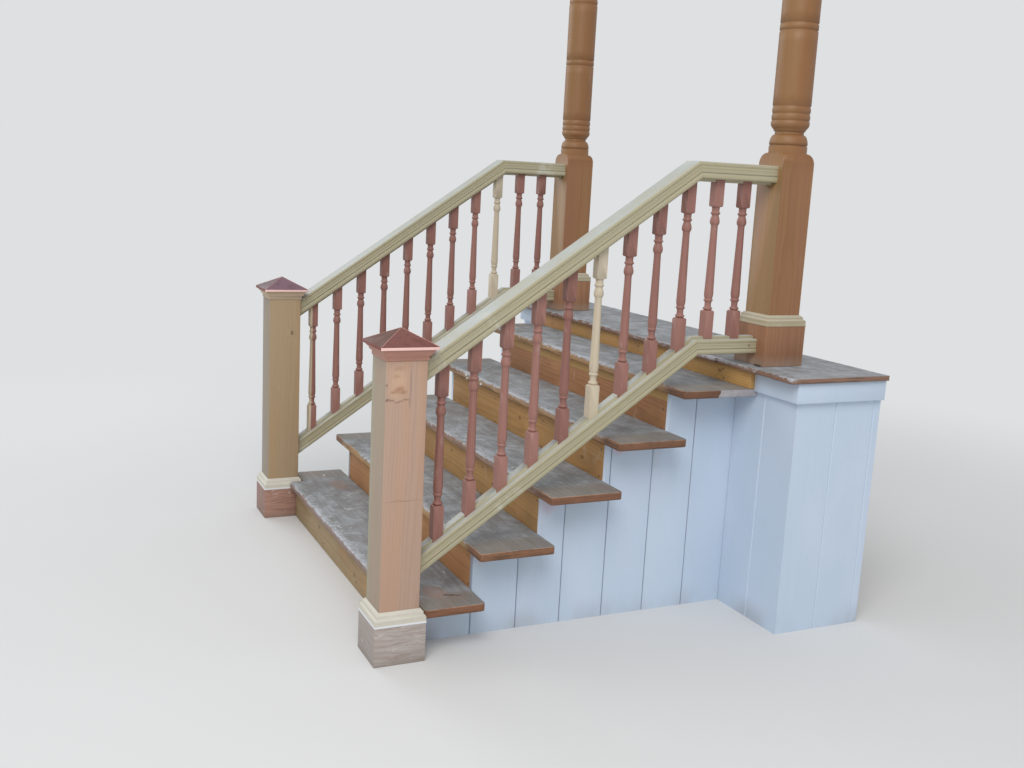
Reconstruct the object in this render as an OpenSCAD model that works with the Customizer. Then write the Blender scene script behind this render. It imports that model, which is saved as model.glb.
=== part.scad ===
// Wooden deck stairs: five treads up to a porch edge, white board skirts, newels with copper
// caps, moulded hand and foot rails, turned balusters and two turned porch posts.
// Millimetres. X runs across the flight, Y runs up it, Z is up and the ground is at Z = 0.

/* [Flight] */
// Width from one skirt's outer face to the other
flight_w = 1524; // [1440:1:1560]
// Height of the first rise, from the ground to the top of the first tread
first_rise = 168; // [150:1:185]
// Height of each further rise
rise = 178; // [165:1:185]
// Height of the last step, from the top tread to the deck
last_rise = 85; // [70:1:120]
// Going of each step, from riser face to riser face
run = 258; // [245:1:275]
// Thickness of a tread
tread_t = 30; // [24:1:38]
// How far a tread's front edge stands past its riser
nosing = 28; // [18:1:34]
// How far a tread's end stands past the skirt
tread_ear = 130; // [90:1:150]
// Radius of a tread's eased front edges
tread_ease = 4; // [1:0.5:6]
// Radius of the rounded corners of a tread's ends
tread_corner = 12; // [6:1:20]
// Thickness of a riser board
riser_t = 19; // [16:1:24]
// Height of the narrow upper board of the fifth riser
riser_strip_h = 40; // [25:1:60]
// Thickness of a skirt's boards
skirt_t = 19; // [16:1:24]

/* [Stringers] */
// Thickness of a stringer
stringer_t = 38; // [32:1:45]
// Depth of a stringer's plank, square to the rake
stringer_d = 286; // [270:1:305]
// Distance of the inner stringers' centres from the middle
stringer_inner_x = 235; // [120:1:330]

/* [Newels] */
// Distance of each newel's, rail's and porch post's middle outside the skirt's face
side_gap = 63.5; // [53:0.5:78]
// Distance of a newel's centre in front of the first riser's face
newel_front = 56; // [40:1:66]
// Side of a newel's square shaft
newel_w = 140; // [120:1:146]
// Height of a newel's shaft above the hand rail where the two meet
newel_over_rail = 7; // [6:1:40]
// Thickness of the boards boxed round the foot of a newel and of a porch post
foot_board_t = 19; // [12:1:20]
// Height of the boxed foot
foot_h = 135; // [100:1:140]
// Height of the moulding on a newel's foot
moulding_h = 48; // [40:1:60]
// How far a moulding's lower lip stands past the boxed foot
moulding_lip = 1.5; // [0.5:0.5:4]

/* [Copper caps] */
// Side of a cap's square rim
cap_w = 196; // [190:1:210]
// Height of a cap's rim
cap_rim_h = 10; // [8:1:14]
// Height of the pyramid above the rim
cap_pitch_h = 50; // [40:1:70]
// Thickness of the sheet copper
cap_sheet_t = 2; // [1.5:0.5:3]
// Height of the stepped wooden moulding under a cap
cap_moulding_h = 37; // [30:1:45]

/* [Rails] */
// Width of the hand rail
hand_rail_w = 92; // [80:1:95]
// Depth of the hand rail, square to its length
hand_rail_d = 60; // [50:1:62]
// Width of the foot rail
foot_rail_w = 80; // [72:1:89]
// Depth of the foot rail, square to its length
foot_rail_d = 54; // [48:1:60]
// Height of the level hand rail's top above the deck
hand_rail_top = 729; // [690:1:760]
// Height of the level foot rail's top above the deck
foot_rail_top = 97; // [85:1:115]
// Knee of the hand rail, behind the first riser's face
hand_knee_y = 1005; // [990:1:1030]
// Knee of the foot rail, behind the first riser's face
foot_knee_y = 1054; // [1045:1:1070]
// Width of the fillet strips between the balusters
fillet_w = 30; // [20:1:33]
// Height of the fillet strips between the balusters
fillet_h = 9; // [6:1:12]

/* [Balusters] */
// Side of a baluster's square blocks
baluster_w = 36; // [34:1:42]
// Height of the turned length of a baluster
turning_h = 390; // [350:1:400]
// First baluster's centre, behind the first riser's face
baluster_first_y = 91; // [75:1:110]
// Distance of the last raked baluster's centre before the hand rail's knee
baluster_knee_gap = 5; // [4:1:20]
// Distance of the last level baluster's centre before the porch post
baluster_post_gap = 108; // [80:1:115]
// Balusters on the rake, on each side
rake_balusters = 9; // [7:1:10]
// Balusters on the level, on each side
level_balusters = 2; // [1:1:2]

/* [Porch posts] */
// Side of a porch post's square blocks
post_w = 140; // [134:1:150]
// Height of a porch post
post_h = 2440; // [2300:1:2600]
// Height of the square block at each end of a porch post
post_block_h = 735; // [700:1:780]
// Diameter of the round shaft next to its rings
post_shaft_d = 138; // [120:1:139]
// Diameter of the round shaft at mid height
post_waist_d = 137; // [116:1:138]
// Diameter of the neck between the square block and the rings
post_neck_d = 104; // [90:1:115]
// Height of the boxed plinth round a porch post's foot
post_plinth_h = 150; // [120:1:165]
// Height of the moulding on that plinth
post_moulding_h = 40; // [34:1:48]
// How far a porch post's front face stands behind the siding's face
post_setback = 16; // [0:1:20]

/* [Landing] */
// Distance of the landing's side boards outside the middle of the rails and porch posts
landing_ear = 294.5; // [245:0.5:420]
// Depth of the landing from the deck's front edge
landing_d = 450; // [420:1:700]
// Thickness of a deck board
deck_t = 19; // [17:1:25]
// Width of a deck board
deck_board_w = 82; // [70:1:100]
// Open joint between deck boards
deck_joint = 2; // [1:0.5:4]
// How far the deck stands past the last riser's face
deck_nosing = 25; // [15:1:35]
// How far the deck stands past the side boards
deck_side_nosing = 30; // [24:1:45]
// Thickness of the last riser, which reaches back to the siding
last_riser_t = 38; // [30:1:40]
// Thickness of the white siding
siding_t = 19; // [16:1:24]
// Height of the frieze board under the deck's edge
frieze_h = 75; // [60:1:90]
// Thickness of the frieze board
frieze_t = 18; // [12:1:20]
// Thickness of a joist
joist_t = 38; // [32:1:45]
// Depth of a joist
joist_h = 184; // [140:1:235]
// Side of a landing leg
leg_w = 140; // [90:1:140]

/* [Hidden] */
// Clearance between a piece and the one it is fitted round or against
fit = 0.3;
right = 1;
left = -1;
sides = [left, right];
steps = 5;
half_w = flight_w / 2;
side_x = half_w + side_gap;
tread_half = half_w + tread_ear;
skirt_in = half_w - skirt_t;
slope = rise / run;
rake = atan(slope);

last_riser_y = steps * run;
siding_y = last_riser_y + last_riser_t;
rim_y = siding_y + siding_t;
deck_z = first_rise + (steps - 1) * rise + last_rise;
joist_top = deck_z - deck_t;
deck_front = last_riser_y - deck_nosing;
landing_back = deck_front + landing_d;
landing_half = side_x + landing_ear;
deck_half = landing_half + deck_side_nosing;

newel_y = -newel_front;
newel_back = newel_y + newel_w / 2;
foot_half = newel_w / 2 + fit + foot_board_t;
newel_clear = foot_half + moulding_lip + fit;
newel_inner_x = side_x - newel_clear;
foot_back = newel_y + newel_clear;

post_front = siding_y + post_setback;
post_y = post_front + post_w / 2;
plinth_half = post_w / 2 + fit + foot_board_t;
plinth_front = post_y - plinth_half;
hand_z = deck_z + hand_rail_top;
foot_z = deck_z + foot_rail_top;
newel_h = hand_z - (hand_knee_y - newel_back) * slope + newel_over_rail;
cap_z = newel_h + cap_moulding_h;

front_edge = newel_y - max(cap_w / 2, foot_half + moulding_lip);
// The middle of the footprint, which stands on the origin
mid_y = (front_edge + landing_back) / 2;

function tread_top(i) = first_rise + (i - 1) * rise;
function tread_foot(i) = tread_top(i) - tread_t;
function plumb(d) = d / cos(rake);
function hand_under(y) =
    hand_z - max(hand_rail_d, plumb(hand_rail_d) + (hand_knee_y - y) * slope);
function foot_over(y) = foot_z - max(0, (foot_knee_y - y) * slope);
function mirrored(half) = concat(half, [for (i = [len(half) - 1:-1:0])
    if (half[i].x != 0) [-half[i].x, half[i].y]]);
function arc(c, r, from, to, n) =
    [for (i = [0:n]) c + r * [cos(from + (to - from) * i / n), sin(from + (to - from) * i / n)]];
// A bead of a turning: swells from one radius to another and back between two heights
function bead(low, high, r, swell, n = 6) =
    [for (i = [0:n]) [r + swell * sin(180 * i / n), low + (high - low) * i / n]];
// A quarter round from one radius and height to another
function quarter(r_from, z_from, r_to, z_to, n = 5) =
    [for (i = [0:n]) [
        r_to + (r_from - r_to) * cos(90 * i / n),
        z_from + (z_to - z_from) * sin(90 * i / n)
    ]];
function flipped(profile, h) =
    [for (i = [len(profile) - 1:-1:0]) [profile[i].x, h - profile[i].y]];

module placed() translate([0, -mid_y, 0]) children();

// An outline in Y and Z, given thickness between two places along X
module slab_x(x_from, x_to) {
    translate([x_from, 0, 0])
        rotate([90, 0, 90])
            linear_extrude(x_to - x_from) children();
}

// A square-plan turning from half-widths against height, mitred at its four corners
module square_turning(half) {
    reach = 2 * max([for (p = half) p.x]) + 2;
    intersection() {
        rotate([90, 0, 0]) linear_extrude(reach, center = true) polygon(mirrored(half));
        rotate([90, 0, 90]) linear_extrude(reach, center = true) polygon(mirrored(half));
    }
}

// Treads: one plank each, with eased front edges and rounded corners; the lowest is notched
// round the newels and the highest runs back square to the siding
module rounded_plan(front, back) {
    r = tread_corner;
    x = tread_half - r;
    polygon(concat(
        arc([x, front + r], r, 270, 360, 5), arc([x, back - r], r, 0, 90, 5),
        arc([-x, back - r], r, 90, 180, 5), arc([-x, front + r], r, 180, 270, 5)));
}

module tread(i) {
    front = (i - 1) * run - nosing;
    back = i == steps ? siding_y : i * run;
    e = tread_ease;
    outline = concat(
        arc([front + e, e], e, 270, 180, 4), arc([front + e, tread_t - e], e, 180, 90, 4),
        [[back, tread_t], [back, 0]]);
    color("silver")
        translate([0, 0, tread_foot(i)])
            intersection() {
                slab_x(-tread_half, tread_half) polygon(outline);
                linear_extrude(tread_t)
                    union() {
                        rounded_plan(i == 1 ? foot_back : front,
                                     i == steps ? back + tread_corner : back);
                        if (i == 1)
                            translate([-newel_inner_x, front])
                                square([2 * newel_inner_x, back - front]);
                    }
            }
}

// Risers: each stands behind the tread below, between the two skirts
module riser(i, low, high) {
    half = i == 1 ? newel_inner_x : skirt_in;
    color("goldenrod")
        translate([-half, (i - 1) * run, low])
            cube([2 * half, riser_t, high - low]);
}

module first_riser() riser(1, 0, tread_foot(1));

module middle_riser(i) riser(i, tread_foot(i - 1), tread_foot(i));

module fifth_riser() riser(5, tread_foot(4), tread_foot(5) - riser_strip_h);

module fifth_riser_strip() riser(5, tread_foot(5) - riser_strip_h, tread_foot(5));

module last_riser() {
    color("goldenrod")
        translate([-tread_half, last_riser_y, tread_top(steps)])
            cube([2 * tread_half, last_riser_t, joist_top - tread_top(steps)]);
}

// Notched edge under the treads, from the top step down to the bottom one
function notches(offset, start) = concat(
    [for (i = [steps:-1:2]) each [
        [(i - 1) * run + offset, tread_foot(i)],
        [(i - 1) * run + offset, tread_foot(i - 1)]
    ]],
    [[start, tread_foot(1)]]);

// Stringers: notched planks on edge, seated on the ground and hung on the front rim
function stringer_under(y) = tread_foot(1) + (y - riser_t) * slope - plumb(stringer_d);

module stringers() {
    seat_y = riser_t + (plumb(stringer_d) - tread_foot(1)) / slope;
    outline = concat(
        [[riser_t, 0], [seat_y, 0], [rim_y, stringer_under(rim_y)], [rim_y, tread_foot(steps)]],
        notches(riser_t, riser_t));
    color("peru")
        for (x = [-skirt_in, -stringer_inner_x - stringer_t / 2,
                  stringer_inner_x - stringer_t / 2, skirt_in - stringer_t])
            slab_x(x, x + stringer_t) polygon(outline);
}

// Skirts: upright boards cut to the steps, with their front edges flush with the risers
module skirt(s) {
    outline = concat(
        [[foot_back, 0], [siding_y, 0], [siding_y, tread_foot(steps)]],
        notches(0, foot_back));
    color("white")
        slab_x(s == right ? skirt_in : -half_w, s == right ? half_w : -skirt_in)
            polygon(outline);
}

// Newels: a square shaft with a boxed foot and a two-step moulding
module newel(s) {
    color("tan")
        translate([s * side_x - newel_w / 2, newel_y - newel_w / 2, 0])
            cube([newel_w, newel_w, newel_h]);
}

// Boards boxed round the foot of a square post
module boxed_foot(post_half, h) {
    hole = post_half + fit;
    half = hole + foot_board_t;
    difference() {
        translate([-half, -half, 0]) cube([2 * half, 2 * half, h]);
        translate([-hole, -hole, -1]) cube([2 * hole, 2 * hole, h + 2]);
    }
}

module newel_foot(s) {
    color("rosybrown")
        translate([s * side_x, newel_y, 0]) boxed_foot(newel_w / 2, foot_h);
}

// A moulding on a boxed foot: lip, lower step, cove, upper step and bevel
module post_moulding(post_half, h) {
    face_half = post_half + fit + foot_board_t;
    lip_half = face_half + moulding_lip;
    upper_half = post_half + (face_half - post_half) * 0.6;
    cove_r = face_half - upper_half;
    hole = 2 * (post_half + fit);
    difference() {
        square_turning(concat(
            [[lip_half, 0], [lip_half, 0.1 * h], [face_half, 0.14 * h]],
            quarter(face_half, 0.42 * h, upper_half, 0.42 * h + cove_r, 4),
            [[upper_half, 0.8 * h], [post_half + 2, h]]));
        translate([-hole / 2, -hole / 2, -1]) cube([hole, hole, h + 2]);
    }
}

module newel_mouldings() {
    color("ivory")
        for (s = sides)
            translate([s * side_x, newel_y, foot_h])
                post_moulding(newel_w / 2, moulding_h);
}

// Caps: a stepped wooden moulding with a low pyramid, under sheet copper
function cap_pyramid(half, rim, top) = [[half, 0], [half, rim], [0, top]];

module cap_mouldings() {
    h = cap_moulding_h;
    inner = newel_w / 2 + 3;
    outer = cap_w / 2 - 10;
    middle = (inner + outer) / 2;
    plug_half = cap_w / 2 - cap_sheet_t - fit;
    color("peru")
        for (s = sides)
            translate([s * side_x, newel_y, newel_h]) {
                square_turning(concat(
                    [[inner, 0], [inner, 0.36 * h]],
                    [[middle, 0.5 * h], [middle, 0.64 * h], [outer, 0.82 * h], [outer, h]],
                    [[plug_half, h], [plug_half, h + cap_rim_h - cap_sheet_t],
                     [0, h + cap_rim_h + cap_pitch_h * (plug_half * 2 / cap_w) - cap_sheet_t]]));
            }
}

module cap(s) {
    half = cap_w / 2;
    hollow_half = half - cap_sheet_t;
    hollow_rim = cap_rim_h - cap_sheet_t + fit;
    hollow_top = cap_rim_h + cap_pitch_h * hollow_half / half - cap_sheet_t + fit;
    color("sienna")
        translate([s * side_x, newel_y, cap_z])
            difference() {
                square_turning(cap_pyramid(half, cap_rim_h, cap_rim_h + cap_pitch_h));
                translate([0, 0, -1])
                    square_turning([[hollow_half, 0], [hollow_half, hollow_rim + 1],
                                    [0, hollow_top + 1]]);
            }
}

// Rails: the moulded side has a rounded lip, a groove, a shallow hollow, a line and a lower band
function rail_half(w, d) = let (e = w / 2, lip = 0.1 * d, toe = 0.13 * d, groove = 2.5) concat(
    [[0, 0]],
    arc([e - lip, -lip], lip, 90, 0, 4),
    [[e, -0.2 * d], [e - groove, -0.24 * d], [e - groove, -0.27 * d]],
    [for (i = [0:4]) [e - 1 - 2 * sin(45 * i), -(0.3 + 0.08 * i) * d]],
    [[e - 1 - groove, -0.635 * d], [e - 1 - groove, -0.66 * d], [e - 1, -0.68 * d]],
    arc([e - 1 - toe, toe - d], toe, 0, -90, 4),
    [[0, -d]]);

// A straight stretch from a knee: towards the newel, raked, or level to its end at a porch post
module stretch(knee_y, knee_z, end_y, w, d, raked) {
    half = rail_half(w, d);
    ahead = 2 * d;
    length = 2 * knee_y;
    intersection() {
        translate([0, knee_y, knee_z])
            rotate([raked ? rake : 0, 0, 0])
                translate([0, raked ? ahead : length, 0])
                    rotate([90, 0, 0])
                        linear_extrude(length + ahead) children();
        translate([0, knee_y, knee_z])
            rotate([rake / 2, 0, 0])
                translate([-w, raked ? -length : fit / 2, -length])
                    cube([2 * w, length - fit / 2, 2 * length]);
        translate([-w, newel_back + fit, 0])
            cube([2 * w, end_y - newel_back - 2 * fit, knee_z + 2 * d]);
    }
}

module fillet(over, d) {
    translate([-fillet_w / 2, over ? -1 : -d - fillet_h])
        square([fillet_w, fillet_h + 1]);
}

module baluster_slots() {
    for (k = [0:rake_balusters + level_balusters - 1])
        translate([-baluster_w / 2 - fit, baluster_y(k) - baluster_w / 2 - fit, 0])
            cube([baluster_w + 2 * fit, baluster_w + 2 * fit, 2 * hand_z]);
}

module rail(s, knee_y, knee_z, end_y, w, d, raked, over) {
    color("wheat")
        translate([s * side_x, 0, 0]) {
            stretch(knee_y, knee_z, end_y, w, d, raked) polygon(mirrored(rail_half(w, d)));
            difference() {
                stretch(knee_y, knee_z, end_y, w, d, raked) fillet(over, d);
                baluster_slots();
            }
        }
}

module hand_rail(s, raked)
    rail(s, hand_knee_y, hand_z, post_front, hand_rail_w, hand_rail_d, raked, false);

module foot_rail(s, raked)
    rail(s, foot_knee_y, foot_z, plinth_front, foot_rail_w, foot_rail_d, raked, true);

// Balusters: square blocks cut to the rails, with a vase turning between them
last_raked_y = hand_knee_y - baluster_knee_gap;
rake_pitch = (last_raked_y - baluster_first_y) / (rake_balusters - 1);
level_pitch = (post_front - last_raked_y - baluster_post_gap) / level_balusters;

function baluster_y(k) = k < rake_balusters
    ? baluster_first_y + k * rake_pitch
    : last_raked_y + (k - rake_balusters + 1) * level_pitch;

function vase(h) = let (block = 0.75 * baluster_w) concat(
    [[block, -h], [block, 0]],
    quarter(block, 0, 16, 9, 4),
    [[13, 10]],
    bead(11, 21, 13.5, 3.8, 5),
    [[12.2, 23], [11.5, 31], [12.5, 40]],
    bead(42, 51, 13.5, 3.5, 5),
    [[14, 53], [16, 61], [16.8, 71], [16.2, 88], [12.3, h - 80], [13, h - 77]],
    [for (i = [0:6]) [12.6 + 5 * sin(180 * pow(i / 6, 0.75)), h - 74 + 34 * i / 6]],
    [[12.6, h - 38]],
    bead(h - 36, h - 26, 13.5, 4, 5),
    [[13.5, h - 23], [14, h - 10]],
    flipped(quarter(block, 0, 16, 9, 4), h),
    [[block, h], [block, 2 * h], [0, 2 * h], [0, -h]]);

module baluster(y) {
    low = y - baluster_w / 2;
    high = y + baluster_w / 2;
    foot = foot_over(y);
    head = hand_under(y);
    intersection() {
        slab_x(-baluster_w / 2, baluster_w / 2)
            polygon([[low, foot_over(low)], [high, foot_over(high)],
                     [high, hand_under(high)], [low, hand_under(low)]]);
        translate([0, y, (foot + head - turning_h) / 2 + 4])
            rotate_extrude($fn = 32) polygon(vase(turning_h));
    }
}

module balusters(s) {
    color("rosybrown")
        for (k = [0:rake_balusters + level_balusters - 1])
            translate([s * side_x, 0, 0]) baluster(baluster_y(k));
}

// Porch posts: square blocks, rounded shoulders, a bell and neck, three rings and a long shaft
function post_lower() = let (
    r = post_shaft_d / 2, neck = post_neck_d / 2, waist = post_waist_d / 2, line = 3,
    b = post_block_h, corner = post_w / sqrt(2) + fit, mid = post_h / 2) concat(
    [[0, 0], [corner, 0], [corner, b]],
    quarter(corner, b, r, b + 43, 6),
    [[r, b + 68], [r - line, b + 69], [r - line, b + 72], [r, b + 73]],
    [for (i = [1:6]) [neck + (r - neck) * cos(15 * i), b + 73 + 36 * sin(15 * i)]],
    [[neck, b + 120], [neck + 5, b + 122], [neck + 5, b + 124]],
    [for (i = [0:6]) [neck + 5 + (r - neck - 5) * sin(15 * i), b + 126 + 20 * (i / 6)]],
    [[r, b + 155], [r - line, b + 157], [r - line, b + 159]],
    bead(b + 160, b + 181, r - 2, 2, 4),
    [[r - line, b + 182], [r - line, b + 184]],
    bead(b + 185, b + 206, r - 2, 2, 4),
    [[r - line, b + 208], [r - line, b + 210], [r, b + 213]],
    [[waist, mid - 16], [waist - line, mid - 14], [waist - line, mid - 11], [waist, mid - 9]]);

module porch_post(s) {
    lower = post_lower();
    color("burlywood")
        translate([s * side_x, post_y, deck_z])
            intersection() {
                translate([-post_w / 2, -post_w / 2, 0]) cube([post_w, post_w, post_h]);
                rotate_extrude($fn = 64) polygon(concat(lower, flipped(lower, post_h)));
            }
}

module post_plinths() {
    color("peru")
        for (s = sides)
            translate([s * side_x, post_y, deck_z]) boxed_foot(post_w / 2, post_plinth_h);
}

module post_mouldings() {
    color("ivory")
        for (s = sides)
            translate([s * side_x, post_y, deck_z + post_plinth_h])
                post_moulding(post_w / 2, post_moulding_h);
}

// Landing: deck boards over a rim frame on legs, with white siding and a frieze board
module deck_boards() {
    pitch = deck_board_w + deck_joint;
    color("gray")
        for (x = [-deck_half:pitch:deck_half - deck_joint - 10])
            translate([x, deck_front, joist_top])
                cube([min(deck_board_w, deck_half - x), landing_d, deck_t]);
}

frame_half = landing_half - siding_t;

module landing_rims() {
    color("peru")
        translate([0, 0, joist_top - joist_h])
            difference() {
                translate([-frame_half, rim_y, 0])
                    cube([2 * frame_half, landing_back - rim_y, joist_h]);
                translate([joist_t - frame_half, rim_y + joist_t, -1])
                    cube([2 * (frame_half - joist_t), landing_back - rim_y - 2 * joist_t,
                          joist_h + 2]);
            }
}

module landing_joist() {
    inner_half = frame_half - joist_t - fit;
    color("peru")
        translate([-inner_half, (rim_y + landing_back - joist_t) / 2, joist_top - joist_h])
            cube([2 * inner_half, joist_t, joist_h]);
}

module landing_legs() {
    color("peru")
        for (s = sides)
            for (y = [rim_y, landing_back - leg_w])
                translate([s * side_x - leg_w / 2, y, 0])
                    cube([leg_w, leg_w, joist_top - joist_h]);
}

module landing_siding() {
    color("white")
        for (s = sides)
            mirror([s == left ? 1 : 0, 0, 0])
                linear_extrude(joist_top)
                    polygon([[skirt_in, siding_y], [landing_half, siding_y],
                             [landing_half, landing_back], [frame_half, landing_back],
                             [frame_half, rim_y], [skirt_in, rim_y]]);
}

module frieze_boards() {
    inner_x = tread_half + fit;
    color("white")
        for (s = sides)
            mirror([s == left ? 1 : 0, 0, 0])
                translate([0, 0, joist_top - frieze_h])
                    linear_extrude(frieze_h)
                        polygon([[inner_x, siding_y - frieze_t],
                                 [landing_half + frieze_t, siding_y - frieze_t],
                                 [landing_half + frieze_t, landing_back],
                                 [landing_half, landing_back],
                                 [landing_half, siding_y], [inner_x, siding_y]]);
}

placed() tread(1);  // tread_1
placed() tread(2);  // tread_2
placed() tread(3);  // tread_3
placed() tread(4);  // tread_4
placed() tread(5);  // tread_5
placed() first_riser();  // riser_1
placed() middle_riser(2);  // riser_2
placed() middle_riser(3);  // riser_3
placed() middle_riser(4);  // riser_4
placed() fifth_riser();  // riser_5
placed() fifth_riser_strip();  // riser_5_strip
placed() last_riser();  // riser_6
placed() stringers();
placed() skirt(right);  // right_skirt
placed() skirt(left);  // left_skirt
placed() newel(right);  // right_newel
placed() newel(left);  // left_newel
placed() newel_foot(right);  // right_newel_foot
placed() newel_foot(left);  // left_newel_foot
placed() newel_mouldings();
placed() cap_mouldings();
placed() cap(right);  // right_cap
placed() cap(left);  // left_cap
placed() hand_rail(right, true);  // right_rake_hand_rail
placed() hand_rail(left, true);  // left_rake_hand_rail
placed() hand_rail(right, false);  // right_level_hand_rail
placed() hand_rail(left, false);  // left_level_hand_rail
placed() foot_rail(right, true);  // right_rake_foot_rail
placed() foot_rail(left, true);  // left_rake_foot_rail
placed() foot_rail(right, false);  // right_level_foot_rail
placed() foot_rail(left, false);  // left_level_foot_rail
placed() balusters(right);  // right_balusters
placed() balusters(left);  // left_balusters
placed() porch_post(right);  // right_porch_post
placed() porch_post(left);  // left_porch_post
placed() post_plinths();
placed() post_mouldings();
placed() deck_boards();
placed() landing_rims();
placed() landing_joist();
placed() landing_legs();
placed() landing_siding();
placed() frieze_boards();
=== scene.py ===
import math
import random

import bmesh
import bpy
from mathutils import Matrix, Vector, noise


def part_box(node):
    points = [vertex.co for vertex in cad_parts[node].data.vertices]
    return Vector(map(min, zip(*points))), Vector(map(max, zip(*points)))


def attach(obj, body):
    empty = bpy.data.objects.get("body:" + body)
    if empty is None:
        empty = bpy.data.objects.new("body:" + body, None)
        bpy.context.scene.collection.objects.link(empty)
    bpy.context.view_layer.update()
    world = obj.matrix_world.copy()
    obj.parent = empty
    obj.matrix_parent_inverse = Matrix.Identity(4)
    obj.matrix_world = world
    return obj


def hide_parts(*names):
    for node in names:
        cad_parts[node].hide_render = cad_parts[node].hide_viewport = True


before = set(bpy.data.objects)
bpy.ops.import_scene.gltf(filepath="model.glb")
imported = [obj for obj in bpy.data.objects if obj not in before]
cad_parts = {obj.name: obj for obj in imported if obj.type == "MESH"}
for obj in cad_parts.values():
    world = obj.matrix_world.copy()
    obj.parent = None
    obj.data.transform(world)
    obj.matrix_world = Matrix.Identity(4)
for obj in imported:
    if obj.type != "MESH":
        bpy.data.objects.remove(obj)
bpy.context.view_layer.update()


# Hidden framing: four notched stringers under the flight, and the landing's rim, joist and
# legs. Rough-sawn construction lumber, spiked together and left bare, seen from behind.

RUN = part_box("riser_3")[0].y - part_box("riser_2")[0].y
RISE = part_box("tread_3")[1].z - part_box("tread_2")[1].z
RAKE = math.atan(RISE / RUN)
SAWN_EDGE = 0.003
SAME_PLACE = 1e-5
FLAT_TURN = math.radians(0.3)
SHARP_TURN = 0.5

# How the grain along each direction is turned to lie along Z
GRAIN_TURNS = {"X": (0, -math.pi / 2, 0), "Y": (math.pi / 2, 0, 0), "Z": (0, 0, 0),
               "rake": (math.pi / 2 - RAKE, 0, 0)}

# How far each board's share of the pattern is set apart from the next one's, along each axis
BOARD_SHIFTS = (3.1, 5.3, 7.7)


def shade(red, green, blue):
    """A colour given as it looks, on the 0 to 255 scale, as the linear values that shaders use."""
    linear = [c / 255 / 12.92 if c / 255 <= 0.04045 else ((c / 255 + 0.055) / 1.055) ** 2.4
              for c in (red, green, blue)]
    return (*linear, 1.0)


def darker(colour, share):
    """The colour with only that share of its light."""
    return (*[c * share for c in colour[:3]], 1.0)


def add(tree, kind, *inputs, **settings):
    """A node of that kind; inputs go to its sockets in order, as values or as links."""
    made = tree.nodes.new(kind)
    for name, value in settings.items():
        setattr(made, name, value)
    for place, value in enumerate(inputs):
        if isinstance(value, bpy.types.NodeSocket):
            tree.links.new(value, made.inputs[place])
        elif value is not None:
            made.inputs[place].default_value = value
    return made


def wired(tree, kind, **inputs):
    """A node of that kind; its inputs are given by their names, as values or as links."""
    made = tree.nodes.new(kind)
    for name, value in inputs.items():
        socket = made.inputs[name.replace("_", " ")]
        if isinstance(value, bpy.types.NodeSocket):
            tree.links.new(value, socket)
        else:
            socket.default_value = value
    return made


def calc(tree, operation, a, b=None, c=None, clamp=False):
    return add(tree, "ShaderNodeMath", a, b, c, operation=operation, use_clamp=clamp).outputs[0]


def vector_calc(tree, operation, a, b=None):
    made = add(tree, "ShaderNodeVectorMath", a, b, operation=operation)
    return made.outputs[1] if operation in ("LENGTH", "DOT_PRODUCT") else made.outputs[0]


def as_vector(tree, x, y, z):
    return add(tree, "ShaderNodeCombineXYZ", x, y, z).outputs[0]


def part_of(tree, vector, axis):
    """One of the vector's three numbers."""
    return add(tree, "ShaderNodeSeparateXYZ", vector).outputs[axis]


def ease(tree, value, low, high, to_low=0.0, to_high=1.0):
    """A smooth step of the value, from to_low at low to to_high at high."""
    return add(tree, "ShaderNodeMapRange", value, low, high, to_low, to_high,
               interpolation_type="SMOOTHSTEP").outputs[0]


def mix(tree, amount, a, b):
    return add(tree, "ShaderNodeMix", amount, *[None] * 5, a, b, data_type="RGBA").outputs[2]


def cloudy(tree, place, stretch, detail=2.0, roughness=0.5):
    """Noise from 0 to 1 whose stretch is its frequency along each axis, per metre."""
    scaled = vector_calc(tree, "MULTIPLY", place, stretch)
    return add(tree, "ShaderNodeTexNoise", scaled, None, 1.0, detail, roughness).outputs[0]


def own_place(tree):
    return add(tree, "ShaderNodeTexCoord").outputs["Object"]


def attribute(tree, name, output="Fac"):
    return add(tree, "ShaderNodeAttribute", attribute_name=name).outputs[output]


def along_grain(tree, grain):
    """Object coordinates less each board's own heart, turned so that the grain runs along Z."""
    from_heart = vector_calc(tree, "SUBTRACT", own_place(tree), attribute(tree, "heart", "Vector"))
    return add(tree, "ShaderNodeMapping", from_heart, None, GRAIN_TURNS[grain]).outputs[0]


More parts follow.
